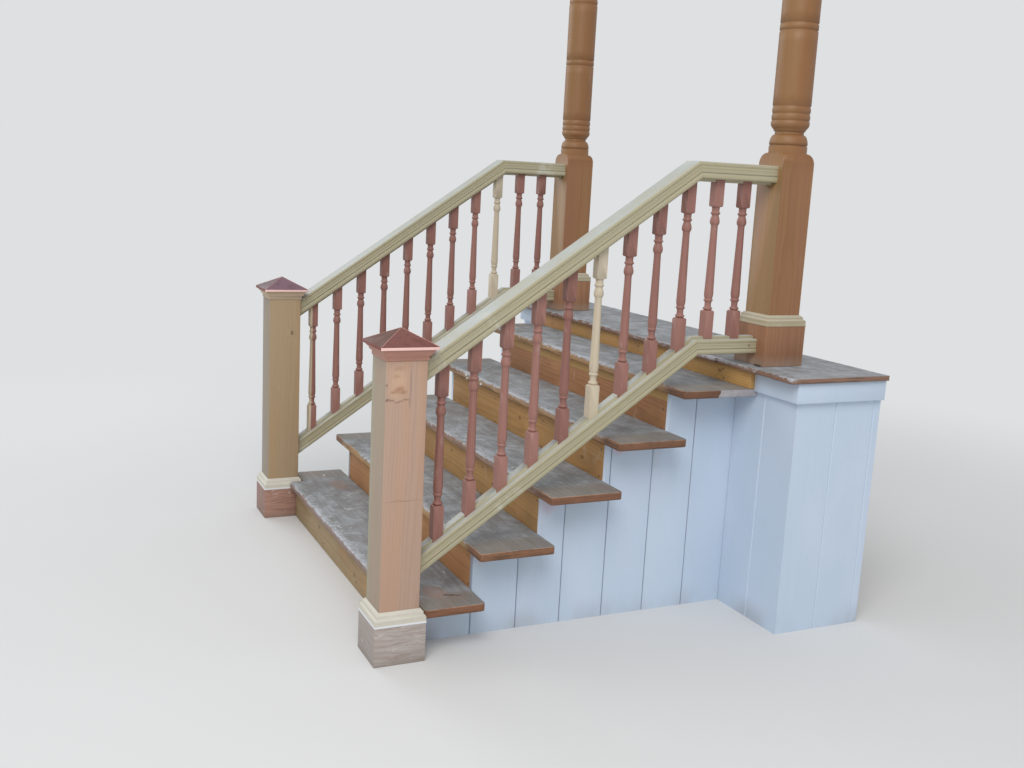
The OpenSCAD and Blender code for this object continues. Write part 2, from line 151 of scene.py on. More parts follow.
def sawn_wood(tree, grain, pale, dark, ring=0.007, wander=0.014, figure=0.3, streak=0.12,
              tone=0.14, knots=()):
    """Solid grain cut from a log: its colour and height. Knots are ((x, y, z), radius)."""
    wood = along_grain(tree, grain)
    board = attribute(tree, "board")
    shifted = vector_calc(tree, "ADD", wood, as_vector(
        tree, *[calc(tree, "MULTIPLY", board, shift) for shift in BOARD_SHIFTS]))
    parts = add(tree, "ShaderNodeSeparateXYZ", wood)
    flat = as_vector(tree, parts.outputs[0], parts.outputs[1], 0.0)
    radius = vector_calc(tree, "LENGTH", flat)
    bend = calc(tree, "SUBTRACT", cloudy(tree, shifted, (7.0, 7.0, 1.3), 3.0), 0.5)
    radius = calc(tree, "MULTIPLY_ADD", bend, wander * 2, radius)
    radius = calc(tree, "MULTIPLY_ADD", parts.outputs[2], 0.012, radius)
    knot = None
    for centre, size in knots:
        offset = vector_calc(tree, "SUBTRACT", own_place(tree), centre)
        turned = add(tree, "ShaderNodeMapping", offset, None, GRAIN_TURNS[grain]).outputs[0]
        ragged = calc(tree, "MULTIPLY_ADD", bend, size * 0.8, vector_calc(
            tree, "LENGTH", vector_calc(tree, "MULTIPLY", turned, (1.0, 1.0, 0.62))))
        near = ease(tree, ragged, size * 3.2, size * 0.8, 0.0, 1.0)
        radius = calc(tree, "MULTIPLY_ADD", near, size * 1.5, radius)
        core = ease(tree, ragged, size, size * 0.72)
        knot = core if knot is None else calc(tree, "MAXIMUM", knot, core)
    phase = calc(tree, "FRACT", calc(tree, "DIVIDE", radius, ring))
    late = add(tree, "ShaderNodeFloatCurve", None, phase)
    points = late.mapping.curves[0].points
    points[0].location = (0.0, 0.08)
    points[1].location = (1.0, 0.08)
    points.new(0.55, 0.16)
    points.new(0.90, 1.0)
    points.new(0.96, 0.9)
    late.mapping.update()
    ringed = late.outputs[0]
    wide = cloudy(tree, shifted, (26.0, 26.0, 0.7), 3.0, 0.6)
    fibre = cloudy(tree, shifted, (420.0, 420.0, 9.0), 2.0, 0.6)
    depth = calc(tree, "MULTIPLY_ADD", calc(tree, "SUBTRACT", wide, 0.5), streak * 3.2, calc(
        tree, "MULTIPLY", ringed, figure))
    depth = calc(tree, "MULTIPLY_ADD", calc(tree, "SUBTRACT", fibre, 0.5), 0.3, depth)
    depth = calc(tree, "MULTIPLY_ADD", calc(tree, "SUBTRACT", board, 0.5), tone * 2.4, depth)
    depth = calc(tree, "ADD", depth, 0.45 - figure / 2, clamp=True)
    colour = mix(tree, depth, pale, dark)
    if knot is not None:
        colour = mix(tree, calc(tree, "MULTIPLY", knot, 0.7), colour, darker(dark, 0.45))
    height = calc(tree, "MULTIPLY_ADD", ringed, 0.3, fibre)
    return colour, height


def finished(name, build, roughness=0.65, bump=0.0006, **shader):
    """A material: build(tree) gives its colour, its height and, if it varies, its roughness."""
    material = bpy.data.materials.new(name)
    material.use_nodes = True
    tree = material.node_tree
    tree.nodes.clear()
    colour, height, *rough = build(tree)
    relief = wired(tree, "ShaderNodeBump", Strength=1.0, Distance=bump, Height=height)
    surface = wired(tree, "ShaderNodeBsdfPrincipled", Base_Color=colour, Roughness=roughness,
                    Normal=relief.outputs[0], **shader)
    if rough:
        tree.links.new(rough[0], surface.inputs["Roughness"])
    add(tree, "ShaderNodeOutputMaterial", surface.outputs[0])
    material.diffuse_color = (0.6, 0.5, 0.4, 1.0)
    return material


def copied(*nodes):
    """The CAD nodes' solids in one editable mesh, with their doubles merged and flats joined."""
    work = bmesh.new()
    for name in nodes:
        work.from_mesh(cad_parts[name].data)
    bmesh.ops.remove_doubles(work, verts=work.verts, dist=SAME_PLACE)
    bmesh.ops.dissolve_limit(work, angle_limit=FLAT_TURN, verts=work.verts, edges=work.edges)
    return work


def solids_of(work):
    """Lists of the vertices of each separate solid, in a fixed order."""
    left = set(work.verts)
    found = []
    for start in work.verts:
        if start not in left:
            continue
        solid = [start]
        left.discard(start)
        for vertex in solid:
            for edge in vertex.link_edges:
                other = edge.other_vert(vertex)
                if other in left:
                    left.discard(other)
                    solid.append(other)
        found.append(solid)
    centre = {id(s): sum((v.co for v in s), Vector()) / len(s) for s in found}
    return sorted(found, key=lambda s: tuple(round(c, 3) for c in centre[id(s)]))


def eased(work, width, segments=2, pick=None, clamp=True):
    """Rounds the convex edges that turn sharply, or those of them that pick chooses."""
    edges = [e for e in work.edges if len(e.link_faces) == 2 and e.is_convex
             and e.calc_face_angle(0.0) > SHARP_TURN and (pick is None or pick(e))]
    bmesh.ops.bevel(work, geom=edges, offset=width, offset_type="OFFSET", segments=segments,
                    profile=0.5, affect="EDGES", clamp_overlap=clamp)


def marked(work, seed, hearts=(0.05, 0.09), along="Z"):
    """Gives each solid its own shade and a heart, off to one side, that its rings curve round."""
    draw = random.Random(seed)
    board = work.verts.layers.float.new("board")
    heart = work.verts.layers.float_vector.new("heart")
    for solid in solids_of(work):
        centre = sum((v.co for v in solid), Vector()) / len(solid)
        turn = draw.uniform(0, 2 * math.pi)
        reach = draw.uniform(*hearts)
        across = Vector((math.cos(turn) * reach, math.sin(turn) * reach, 0))
        if along == "X":
            across = Vector((0, across.x, across.y))
        if along in ("Y", "rake"):
            across = Vector((across.x, 0, across.y))
        tone = draw.random()
        for vertex in solid:
            vertex[board] = tone
            vertex[heart] = centre + across
    return work


def placed(name, work, material, slot, *nodes, crease=0.6):
    """Makes the mesh a piece of the stair that stands for those CAD nodes."""
    mesh = bpy.data.meshes.new(name)
    work.to_mesh(mesh)
    work.free()
    mesh.materials.append(material)
    mesh.shade_smooth()
    mesh.set_sharp_from_angle(angle=crease)
    piece = bpy.data.objects.new(name, mesh)
    bpy.context.scene.collection.objects.link(piece)
    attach(piece, "root")
    if nodes:
        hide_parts(*nodes)


def dressed(name, node, seed, edge, material, slot, segments=2, **marks):
    """Makes a piece of the CAD node's own solids, with their edges eased by the width edge."""
    work = marked(copied(node), seed, **marks)
    eased(work, edge, segments)
    placed(name, work, material, slot, node)


def framing_finish(grain):
    def build(tree):
        colour, height = sawn_wood(tree, grain, shade(196, 162, 116), shade(140, 104, 68),
                                   ring=0.008, figure=0.5, streak=0.2)
        saw = add(tree, "ShaderNodeTexWave", own_place(tree), 70.0, 3.0, 2.0,
                  bands_direction="DIAGONAL").outputs[1]
        dust = cloudy(tree, own_place(tree), (9.0, 9.0, 9.0), 4.0)
        colour = mix(tree, ease(tree, dust, 0.52, 0.8, 0.0, 0.5), colour, shade(150, 142, 130))
        return colour, calc(tree, "MULTIPLY_ADD", saw, 0.5, height)
    return finished(f"rough_sawn_{grain}", build, roughness=0.85, bump=0.0009)


for node, grain in (("stringers", "rake"), ("landing_rims", "X"), ("landing_joist", "X"),
                    ("landing_legs", "Z")):
    dressed("sawn_" + node, node, 11, SAWN_EDGE, framing_finish(grain), "framing_lumber",
            along=grain)


# Skirts and siding: upright tongue-and-groove boards, 179 mm to the joint, with a V-groove at
# each joint. Painted white, with tannin bleeding pink through the paint under the treads.

BOARD_PITCH = 0.179
GROOVE = 0.003
BOARD_GAP = 0.0010
JOINT_REACH = 0.002
FRIEZE_EDGE = 0.002
SIDING_FACE_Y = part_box("right_skirt")[1].y
SKIRT_FACE_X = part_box("right_skirt")[1].x
SIDE_FACE_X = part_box("landing_siding")[1].x
FIRST_RISER_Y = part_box("riser_1")[0].y


def stair_y(distance):
    """The Y of a place up the flight, measured from the first riser's face."""
    return FIRST_RISER_Y + distance


def unit(axis):
    return Vector([1.0 if i == axis else 0.0 for i in range(3)])


def sawn_at(work, place, normal, **settings):
    """Cuts the mesh's faces where they cross a plane."""
    return bmesh.ops.bisect_plane(work, geom=work.verts[:] + work.edges[:] + work.faces[:],
                                  dist=1e-6, plane_co=place, plane_no=normal, **settings)


def cut_away(work, place, normal):
    """Cuts the mesh at a plane, drops what lies beyond it and closes the cut."""
    cut = sawn_at(work, place, normal, clear_outer=True)
    edges = [e for e in cut["geom_cut"] if isinstance(e, bmesh.types.BMEdge)]
    if edges:
        bmesh.ops.holes_fill(work, edges=edges, sides=0)


def boarded(node, joints):
    """The node's sheet as separate boards, sawn at each joint, an axis and a place along it."""
    boards = [copied(node)]
    for axis, place in joints:
        direction = unit(axis)
        sawn = []
        for board in boards:
            reach = [v.co[axis] for v in board.verts]
            if not min(reach) + GROOVE < place < max(reach) - GROOVE:
                sawn.append(board)
                continue
            other = board.copy()
            cut_away(board, direction * (place - BOARD_GAP / 2), direction)
            cut_away(other, direction * (place + BOARD_GAP / 2), -direction)
            sawn += [board, other]
        boards = sawn
    joined = bmesh.new()
    for board in boards:
        sheet = bpy.data.meshes.new("board")
        board.to_mesh(sheet)
        board.free()
        joined.from_mesh(sheet)
        bpy.data.meshes.remove(sheet)
    bmesh.ops.recalc_face_normals(joined, faces=joined.faces[:])
    return joined


def upright(edge):
    run = edge.verts[0].co - edge.verts[1].co
    return abs(run.z) > 0.9 * run.length


def at_joint(place, joints):
    return any(abs(place[axis] - joint) < JOINT_REACH for axis, joint in joints)


def grooved(work, joints, on_face, grime=1.0):
    """Bevels the boards' edges at the joints and stores how much painted shade their grooves get; a
    grime below 0 gives a painted highlight along them instead.
    """
    eased(work, GROOVE, 1, lambda e: upright(e) and on_face(e.verts[0].co)
          and at_joint(e.verts[0].co, joints), clamp=False)
    crevice = work.verts.layers.float.new("crevice")
    for vertex in work.verts:
        vertex[crevice] = grime if at_joint(vertex.co, joints) else 0.0


def spots(tree, place, marks, softness, ripple):
    """1 inside any of the marks, each ((x, y, z), (reach x, reach y, reach z)), 0 outside."""
    place = vector_calc(tree, "ADD", place, ripple)
    total = None
    for centre, reach in marks:
        offset = vector_calc(tree, "SUBTRACT", place, centre)
        scaled = vector_calc(tree, "DIVIDE", offset, reach)
        one = ease(tree, vector_calc(tree, "LENGTH", scaled), 1.0, softness)
        total = one if total is None else calc(tree, "MAXIMUM", total, one)
    return total


def white_paint(name, stains):
    """Brushed white paint: stained under the treads and dirty near the ground. Its joints get
    painted shade, and a painted highlight where their value is below 0.
    """
    def build(tree):
        here = own_place(tree)
        brushed = cloudy(tree, here, (110.0, 110.0, 3.0), 3.0, 0.6)
        patchy = cloudy(tree, here, (5.0, 5.0, 2.2), 3.0)
        wood, height = sawn_wood(tree, "Z", shade(202, 217, 233), shade(190, 207, 227),
                                 ring=0.012, figure=0.12, streak=0.06, tone=0.10)
        colour = mix(tree, ease(tree, patchy, 0.35, 0.7, 0.0, 0.5), wood, shade(208, 218, 236))
        ripple = calc(tree, "MULTIPLY_ADD", patchy, 0.16, -0.08)
        bleed = spots(tree, here, stains, 0.25, as_vector(tree, 0.0, ripple, ripple))
        thin = calc(tree, "MULTIPLY", bleed, ease(tree, brushed, 0.25, 0.7, 0.35, 0.8))
        colour = mix(tree, thin, colour, shade(206, 188, 204))
        level = part_of(tree, here, 2)
        grime = calc(tree, "MULTIPLY", ease(tree, level, 0.10, 0.0), ease(tree, patchy, 0.3, 0.8))
        colour = mix(tree, calc(tree, "MULTIPLY", grime, 0.55), colour, shade(140, 138, 136))
        scuff = ease(tree, cloudy(tree, here, (38.0, 38.0, 14.0), 5.0, 0.7), 0.66, 0.78, 0.0, 0.3)
        colour = mix(tree, scuff, colour, shade(180, 189, 202))
        # Painted shade darkens the joints' grooves; a value below 0 gives a painted highlight along
        # them instead
        crevice = attribute(tree, "crevice")
        groove_shade = calc(tree, "MULTIPLY", crevice, 0.6, clamp=True)
        colour = mix(tree, groove_shade, colour, shade(122, 128, 148))
        glint = calc(tree, "MULTIPLY", crevice, -0.6, clamp=True)
        colour = mix(tree, glint, colour, shade(222, 232, 246))
        return colour, calc(tree, "MULTIPLY_ADD", height, 0.35, brushed), ease(
            tree, patchy, 0.3, 0.7, 0.42, 0.58)
    return finished(name, build, bump=0.0004)


# Tannin bleeds through behind and below each step's nosing, less strongly at each one up
STAIN_BACK, STAIN_DROP = 0.06, 0.02
STAIN_DEEP, STAIN_HIGH = 0.10, 0.06
skirt_stains = []
for step, strength in ((1, 1.0), (2, 0.75), (3, 0.5), (4, 0.4)):
    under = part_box(f"tread_{step + 1}")[0].z
    skirt_stains.append(((SKIRT_FACE_X, stair_y(RUN * step + STAIN_BACK), under - STAIN_DROP),
                         (1.0, STAIN_DEEP * strength, STAIN_HIGH * strength)))
skirt_paint = white_paint("white_board_paint", skirt_stains)

skirt_joints = [(1, stair_y(RUN + i * BOARD_PITCH)) for i in range(-1, 6)]
for side in ("right", "left"):
    boards = boarded(f"{side}_skirt", skirt_joints)
    grooved(boards, skirt_joints, lambda place: abs(place.x) > SKIRT_FACE_X - 1e-4)
    marked(boards, 21 if side == "right" else 22, (0.03, 0.12))
    placed(f"{side}_skirt_boards", boards, skirt_paint, "white_board", f"{side}_skirt")

siding_joints = [(0, side * (SKIRT_FACE_X + i * BOARD_PITCH)) for side in (-1, 1) for i in (0, 1)]
siding_joints += [(1, SIDING_FACE_Y + i * BOARD_PITCH) for i in (1, 2)]
siding = boarded("landing_siding", siding_joints)
# The siding's joints get a painted highlight instead of painted shade
grooved(siding, siding_joints, lambda place: place.y < SIDING_FACE_Y + 1e-4
        or abs(place.x) > SIDE_FACE_X - 1e-4, grime=-1.0)
marked(siding, 23, (0.03, 0.12))
placed("siding_boards", siding, skirt_paint, "white_board", "landing_siding")

# Frieze: a plain painted board under the deck's edge, nailed over the siding's tops.
dressed("frieze", "frieze_boards", 24, FRIEZE_EDGE, skirt_paint, "white_board", along="X")


# Risers: bare fir boards nailed to the stringers' faces. Golden and knotty; the fifth is a
# narrow yellow strip over a red board, and the sixth is thicker lumber.

RISER_EDGE = 0.0012
RISER_HEARTS = (0.07, 0.14)


def riser_knots(step, places):
    """Knots for sawn_wood on that riser's face, each given as (x, drop from its top, radius)."""
    front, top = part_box(f"riser_{step}")[0].y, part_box(f"riser_{step}")[1].z
    return [((x, front, top - drop), size) for x, drop, size in places]


def riser_wood(name, pale, dark, knots):
    def build(tree):
        here = own_place(tree)
        colour, height = sawn_wood(tree, "X", pale, dark, ring=0.009, wander=0.02, figure=0.34,
                                   streak=0.18, knots=knots)
        patch = cloudy(tree, here, (3.0, 3.0, 5.0), 3.0)
        colour = mix(tree, ease(tree, patch, 0.52, 0.72, 0.0, 0.6), colour, shade(192, 142, 94))
        smear = cloudy(tree, here, (14.0, 14.0, 9.0), 5.0, 0.62)
        colour = mix(tree, ease(tree, smear, 0.60, 0.74, 0.0, 0.5), colour, shade(200, 182, 154))
        grime = ease(tree, cloudy(tree, here, (4.0, 4.0, 9.0), 3.0), 0.45, 0.75, 0.0, 0.35)
        colour = mix(tree, grime, colour, shade(138, 108, 76))
        return colour, height
    return finished(name, build, roughness=0.68, bump=0.0004)


fir_dark = shade(166, 122, 72)
# The first riser's colours are darkened by painted shade, for the shade under the first tread's
# nosing
riser_looks = (
    (1, shade(172, 150, 114), shade(143, 118, 82),
     [(-0.32, 0.06, 0.009), (0.21, 0.09, 0.008), (0.52, 0.05, 0.006)]),
    (2, shade(200, 146, 96), shade(166, 110, 68), [(0.12, 0.05, 0.009), (-0.4, 0.10, 0.008)]),
    (3, shade(202, 160, 104), fir_dark, [(0.34, 0.08, 0.009), (-0.1, 0.05, 0.007)]),
    (4, shade(200, 156, 98), fir_dark, [(0.02, 0.07, 0.008), (0.58, 0.10, 0.009)]),
    (5, shade(180, 130, 88), shade(144, 96, 62), [(-0.05, 0.04, 0.008), (0.4, 0.06, 0.007)]),
    (6, shade(210, 168, 104), shade(172, 126, 70), [(0.7, 0.03, 0.009), (0.1, 0.03, 0.008)]),
)
for step, pale, dark, places in riser_looks:
    fir = riser_wood(f"fir_riser_{step}_wood", pale, dark, riser_knots(step, places))
    dressed(f"fir_riser_{step}", f"riser_{step}", 30 + step, RISER_EDGE, fir,
            "red_riser" if step == 5 else "fir_riser", hearts=RISER_HEARTS, along="X")
yellow_fir = riser_wood("yellow_strip_wood", shade(206, 168, 108), fir_dark, [])
dressed("fir_riser_5_strip", "riser_5_strip", 39, RISER_EDGE, yellow_fir, "fir_riser",
        hearts=RISER_HEARTS, along="X")


# Treads: planks with eased, rounded ends that run out past the skirt. Their tops are weathered
# gray and smeared with plaster, their edges brown, chipped and worn along the front.

TREAD_SLICE = 0.010
TREAD_EASE = 0.004
CHIP_BACK, CHIP_DOWN = 0.010, 0.012
BROWN_SHADOW = 0.66
WORN_DEPTH = 0.012
PALE_END_BACK = 0.155


def sliced(work, axis, step):
    """Cuts the mesh's faces across the axis every step, so that its edges can wear."""
    low = min(v.co[axis] for v in work.verts)
    high = max(v.co[axis] for v in work.verts)
    for i in range(1, int((high - low) / step)):
        sawn_at(work, unit(axis) * (low + i * step), unit(axis))


def planed(node):
    """The node's plank sawn afresh from its outline, with every edge of both faces rounded."""
    low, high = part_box(node)
    work = copied(node)
    middle = Vector((0, 0, (low.z + high.z) / 2))
    cut = sawn_at(work, middle, (0, 0, 1))
    outline = {v for v in cut["geom_cut"] if isinstance(v, bmesh.types.BMVert)}
    bmesh.ops.delete(work, geom=[v for v in work.verts if v not in outline], context="VERTS")
    bmesh.ops.dissolve_limit(work, angle_limit=0.01, verts=work.verts[:], edges=work.edges[:])
    bmesh.ops.translate(work, verts=work.verts[:], vec=(0, 0, low.z - middle.z))
    under = bmesh.ops.contextual_create(work, geom=work.edges[:])["faces"]
    raised = bmesh.ops.extrude_face_region(work, geom=under)["geom"]
    bmesh.ops.translate(work, verts=[v for v in raised if isinstance(v, bmesh.types.BMVert)],
                        vec=(0, 0, high.z - low.z))
    bmesh.ops.recalc_face_normals(work, faces=work.faces[:])
    eased(work, TREAD_EASE, 3, lambda e: abs(e.verts[0].co.z - e.verts[1].co.z) < 1e-5,
          clamp=False)
    return work


def chipped(work, seed, front, top, depth=0.004):
    """Knocks chips out of the top front edge and wears it in and out along its length."""
    for vertex in work.verts:
        place = vertex.co
        back = max(0.0, 1 - (place.y - front) / CHIP_BACK)
        near = back * max(0.0, 1 - (top - place.z) / CHIP_DOWN)
        if near <= 0:
            continue
        wear = noise.noise(Vector((place.x * 9, seed, 0))) * 0.5 + 0.5
        chip = max(0.0, noise.noise(Vector((place.x * 46, seed * 3.1, 1))) - 0.28) / 0.72
        place.y += near * (0.0009 * wear + depth * chip)
        place.z -= near * (0.0007 * wear + depth * 0.7 * chip)


def from_arris(work, front, top):
    """Stores how far each point lies behind the plank's front edge and below its top."""
    behind = work.verts.layers.float.new("behind")
    below = work.verts.layers.float.new("below")
    for vertex in work.verts:
        vertex[behind] = vertex.co.y - front
        vertex[below] = top - vertex.co.z


# The plaster was swept towards the porch, aslant of the boards
SWEEP_TURN = math.radians(-62)


def plank_finish(name, grain, between_half, brown, brown_dark, golden, top, top_dark,
                 pale_from=None, marks=()):
    """Weathered gray over brown wood, plastered between the rails, with its own marks.

    Past pale_from the plank's outer end is smeared white; marks are (places, colour, strength).
    """
    def build(tree):
        here = own_place(tree)
        colour, height = sawn_wood(tree, grain, brown, brown_dark, ring=0.006, figure=0.5,
                                   streak=0.3)
        behind = attribute(tree, "behind")
        below = attribute(tree, "below")
        places = add(tree, "ShaderNodeSeparateXYZ", here)
        across = calc(tree, "ABSOLUTE", places.outputs[0])
        along = (1.0, 9.0, 9.0) if grain == "X" else (9.0, 1.0, 9.0)
        broad = cloudy(tree, here, (3.2, 5.0, 5.0), 3.0, 0.55)
        blot = cloudy(tree, here, (11.0, 16.0, 16.0), 6.0, 0.68)
        worn = cloudy(tree, here, tuple(a * 6.0 for a in along), 4.0, 0.6)
        scratch = cloudy(tree, here, tuple(a * a * 3.0 for a in along), 2.0, 0.5)
        between = ease(tree, across, between_half + 0.02, between_half - 0.05)
        gold = calc(tree, "MULTIPLY", between, ease(tree, broad, 0.3, 0.6, 0.80, 1.0))
        colour = mix(tree, gold, colour, mix(
            tree, ease(tree, worn, 0.48, 0.72, 0.0, 0.5), golden, brown))
        slope = part_of(tree, add(tree, "ShaderNodeNewGeometry").outputs["Normal"], 2)
        grooves = cloudy(tree, here, (6.0, 6.0, 130.0), 3.0, 0.6)
        colour = mix(tree, ease(tree, grooves, 0.50, 0.66, 0.0, 0.55), colour,
                     darker(brown_dark, 0.6))
        rubbed = calc(tree, "MULTIPLY", ease(tree, slope, 0.10, 0.40), ease(tree, blot, 0.35, 0.60))
        rubbed = calc(tree, "MULTIPLY", rubbed, ease(tree, between, 0.0, 1.0, 0.65, 0.1))
        colour = mix(tree, rubbed, colour, shade(190, 154, 130))
        # Painted shade: faces that turn downward are darkened
        underside_shade = ease(tree, slope, 0.0, -0.5, 0.0, 0.5)
        colour = mix(tree, underside_shade, colour, darker(brown_dark, 0.4))
        up = ease(tree, slope, 0.35, 0.95)
        ragged = calc(tree, "MULTIPLY_ADD", blot, 0.012, calc(tree, "SUBTRACT", behind, 0.006))
        weather = calc(tree, "MULTIPLY", up, ease(tree, ragged, 0.001, 0.006))
        tone = calc(tree, "MULTIPLY_ADD", scratch, 0.35, calc(
            tree, "MULTIPLY_ADD", worn, 0.35, calc(tree, "MULTIPLY", blot, 0.3)))
        aged = mix(tree, ease(tree, tone, 0.36, 0.64), top_dark, top)
        aged = mix(tree, ease(tree, broad, 0.50, 0.72, 0.0, 0.3), aged, brown)
        colour = mix(tree, weather, colour, aged)
        skim = calc(tree, "MULTIPLY", between, ease(tree, blot, 0.30, 0.60, 0.56, 0.9))
        skim = calc(tree, "MULTIPLY", skim, weather)
        plaster = mix(tree, ease(tree, calc(tree, "MULTIPLY_ADD", scratch, 0.4, calc(
            tree, "MULTIPLY", blot, 0.6)), 0.38, 0.62), shade(134, 138, 141), shade(164, 169, 175))
        colour = mix(tree, skim, colour, plaster)
        bent = vector_calc(tree, "ADD", here, vector_calc(tree, "MULTIPLY", add(
            tree, "ShaderNodeTexNoise", here, None, 7.0, 2.0, 0.5).outputs[1], (0.07, 0.07, 0.0)))
        swept = add(tree, "ShaderNodeMapping", bent, None, (0.0, 0.0, SWEEP_TURN)).outputs[0]
        smear = cloudy(tree, swept, (13.0, 62.0, 30.0), 4.0, 0.62)
        wisp = ease(tree, calc(tree, "MULTIPLY_ADD", blot, 0.45, calc(
            tree, "MULTIPLY", smear, 0.6)), 0.55, 0.69)
        wisp = calc(tree, "MULTIPLY", wisp, calc(tree, "MULTIPLY", weather, ease(
            tree, between, 0.0, 1.0, 0.03, 0.66)))
        colour = mix(tree, wisp, colour, shade(190, 195, 201))
        rag = cloudy(tree, here, (38.0, 60.0, 60.0), 5.0, 0.7)
        patchy = calc(tree, "MULTIPLY_ADD", rag, 0.55, calc(tree, "MULTIPLY", broad, 0.45))
        fringe = calc(tree, "MULTIPLY", ease(tree, behind, 0.036, 0.004), ease(
            tree, below, 0.014, 0.003))
        fringe = calc(tree, "MULTIPLY", fringe, ease(tree, patchy, 0.44, 0.56))
        hang = calc(tree, "MULTIPLY_ADD", rag, -0.055, calc(tree, "ADD", below, 0.0275))
        line = calc(tree, "MULTIPLY", ease(tree, behind, 0.013, 0.005), ease(
            tree, hang, 0.009, 0.005))
        line = calc(tree, "MULTIPLY", line, ease(tree, patchy, 0.42, 0.52))
        fringe = calc(tree, "MULTIPLY", calc(tree, "MAXIMUM", fringe, line), between)
        colour = mix(tree, calc(tree, "MULTIPLY", fringe, 0.8), colour, mix(
            tree, scratch, shade(176, 181, 190), shade(208, 212, 218)))
        ripple = as_vector(tree, calc(tree, "MULTIPLY_ADD", blot, 0.01, -0.005), 0.0, 0.0)
        for spot_places, spot_colour, strength in marks:
            mark = spots(tree, here, spot_places, 0.5, ripple)
            mark = calc(tree, "MULTIPLY", calc(tree, "MULTIPLY", mark, up), strength)
            colour = mix(tree, mark, colour, spot_colour)
        if pale_from is not None:
            spill = calc(tree, "MULTIPLY_ADD", rag, 0.07, places.outputs[1])
            spill = ease(tree, spill, pale_from + 0.033, pale_from + 0.038)
            outer = ease(tree, across, SKIRT_FACE_X, SKIRT_FACE_X + 0.08)
            spill = calc(tree, "MULTIPLY", calc(tree, "MULTIPLY", spill, outer), ease(
                tree, slope, 0.9, 0.5, 0.25, 0.92))
            colour = mix(tree, spill, colour, mix(tree, worn, shade(150, 146, 150),
                                                  shade(196, 192, 194)))
        relief = calc(tree, "MULTIPLY_ADD", skim, 0.5, calc(
            tree, "MULTIPLY_ADD", scratch, 0.6, height))
        relief = calc(tree, "MULTIPLY_ADD", calc(tree, "MAXIMUM", wisp, fringe), 1.4, relief)
        return colour, relief, ease(tree, skim, 0.0, 1.0, 0.6, 0.9)
    return finished(name, build, bump=0.0008)


rail_x = abs(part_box("right_rake_foot_rail")[0].x)
tread_browns = ((142, 96, 68), (146, 102, 72), (138, 94, 68), (142, 98, 70), (124, 84, 60))
tread_fronts = ((146, 124, 113), (198, 160, 108), (162, 132, 112), (178, 142, 106), (176, 138, 96))
first_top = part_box("tread_1")[1].z
second_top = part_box("tread_2")[1].z
tread_marks = {
    1: [([((0.745, -0.655, first_top), (0.075, 0.055, 0.02))], shade(158, 126, 112), 0.6),
        ([((-0.63, -0.605, first_top), (0.11, 0.050, 0.02))], shade(160, 136, 124), 0.55),
        ([((0.782, -0.626, first_top), (0.006, 0.016, 0.01)),
          ((0.789, -0.607, first_top), (0.007, 0.016, 0.01)),
          ((0.797, -0.588, first_top), (0.005, 0.014, 0.01))], shade(56, 50, 48), 0.95),
        ([((0.573, -0.552, first_top), (0.009, 0.006, 0.01)),
          ((-0.257, -0.667, first_top), (0.011, 0.008, 0.01)),
          ((-0.806, -0.629, first_top), (0.012, 0.008, 0.01))], shade(214, 214, 208), 0.9)],
    2: [([((0.888, -0.552, second_top), (0.006, 0.005, 0.01))], shade(216, 214, 206), 0.9)],
}
for step, (brown, front_brown) in enumerate(zip(tread_browns, tread_fronts), 1):
    low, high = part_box(f"tread_{step}")
    plank = planed(f"tread_{step}")
    sliced(plank, 0, TREAD_SLICE)
    sawn_at(plank, (0, low.y + WORN_DEPTH, 0), (0, 1, 0))
    chipped(plank, step, low.y, high.z)
    from_arris(plank, low.y, high.z)
    marked(plank, 40 + step, (0.05, 0.10), "X")
    placed(f"plank_tread_{step}", plank, plank_finish(
        f"tread_{step}_wood", "X", rail_x, shade(*brown), shade(*[c * BROWN_SHADOW for c in brown]),
        shade(*front_brown), shade(140, 135, 130), shade(122, 116, 110),
        low.y + PALE_END_BACK if step == 5 else None, tread_marks.get(step, ())),
        "weathered_plank", f"tread_{step}")


# Newels: square posts of bare wood, each with a boxed plywood foot, a two-step pine moulding
# nailed round it, and a stepped moulding under the cap.

RIGHT_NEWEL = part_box("right_newel")
LEFT_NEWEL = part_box("left_newel")
NEWEL_EDGE = 0.0028
NEWEL_FOOT_EDGE = 0.0015
TRIM_EDGE = 0.0008
CAULK_HEIGHT = 0.007


def facing(tree, axis, low, high):
    """1 where the surface faces along the axis, 0 where it turns away from it."""
    normal = add(tree, "ShaderNodeNewGeometry").outputs["Normal"]
    return ease(tree, vector_calc(tree, "DOT_PRODUCT", normal, axis), low, high)


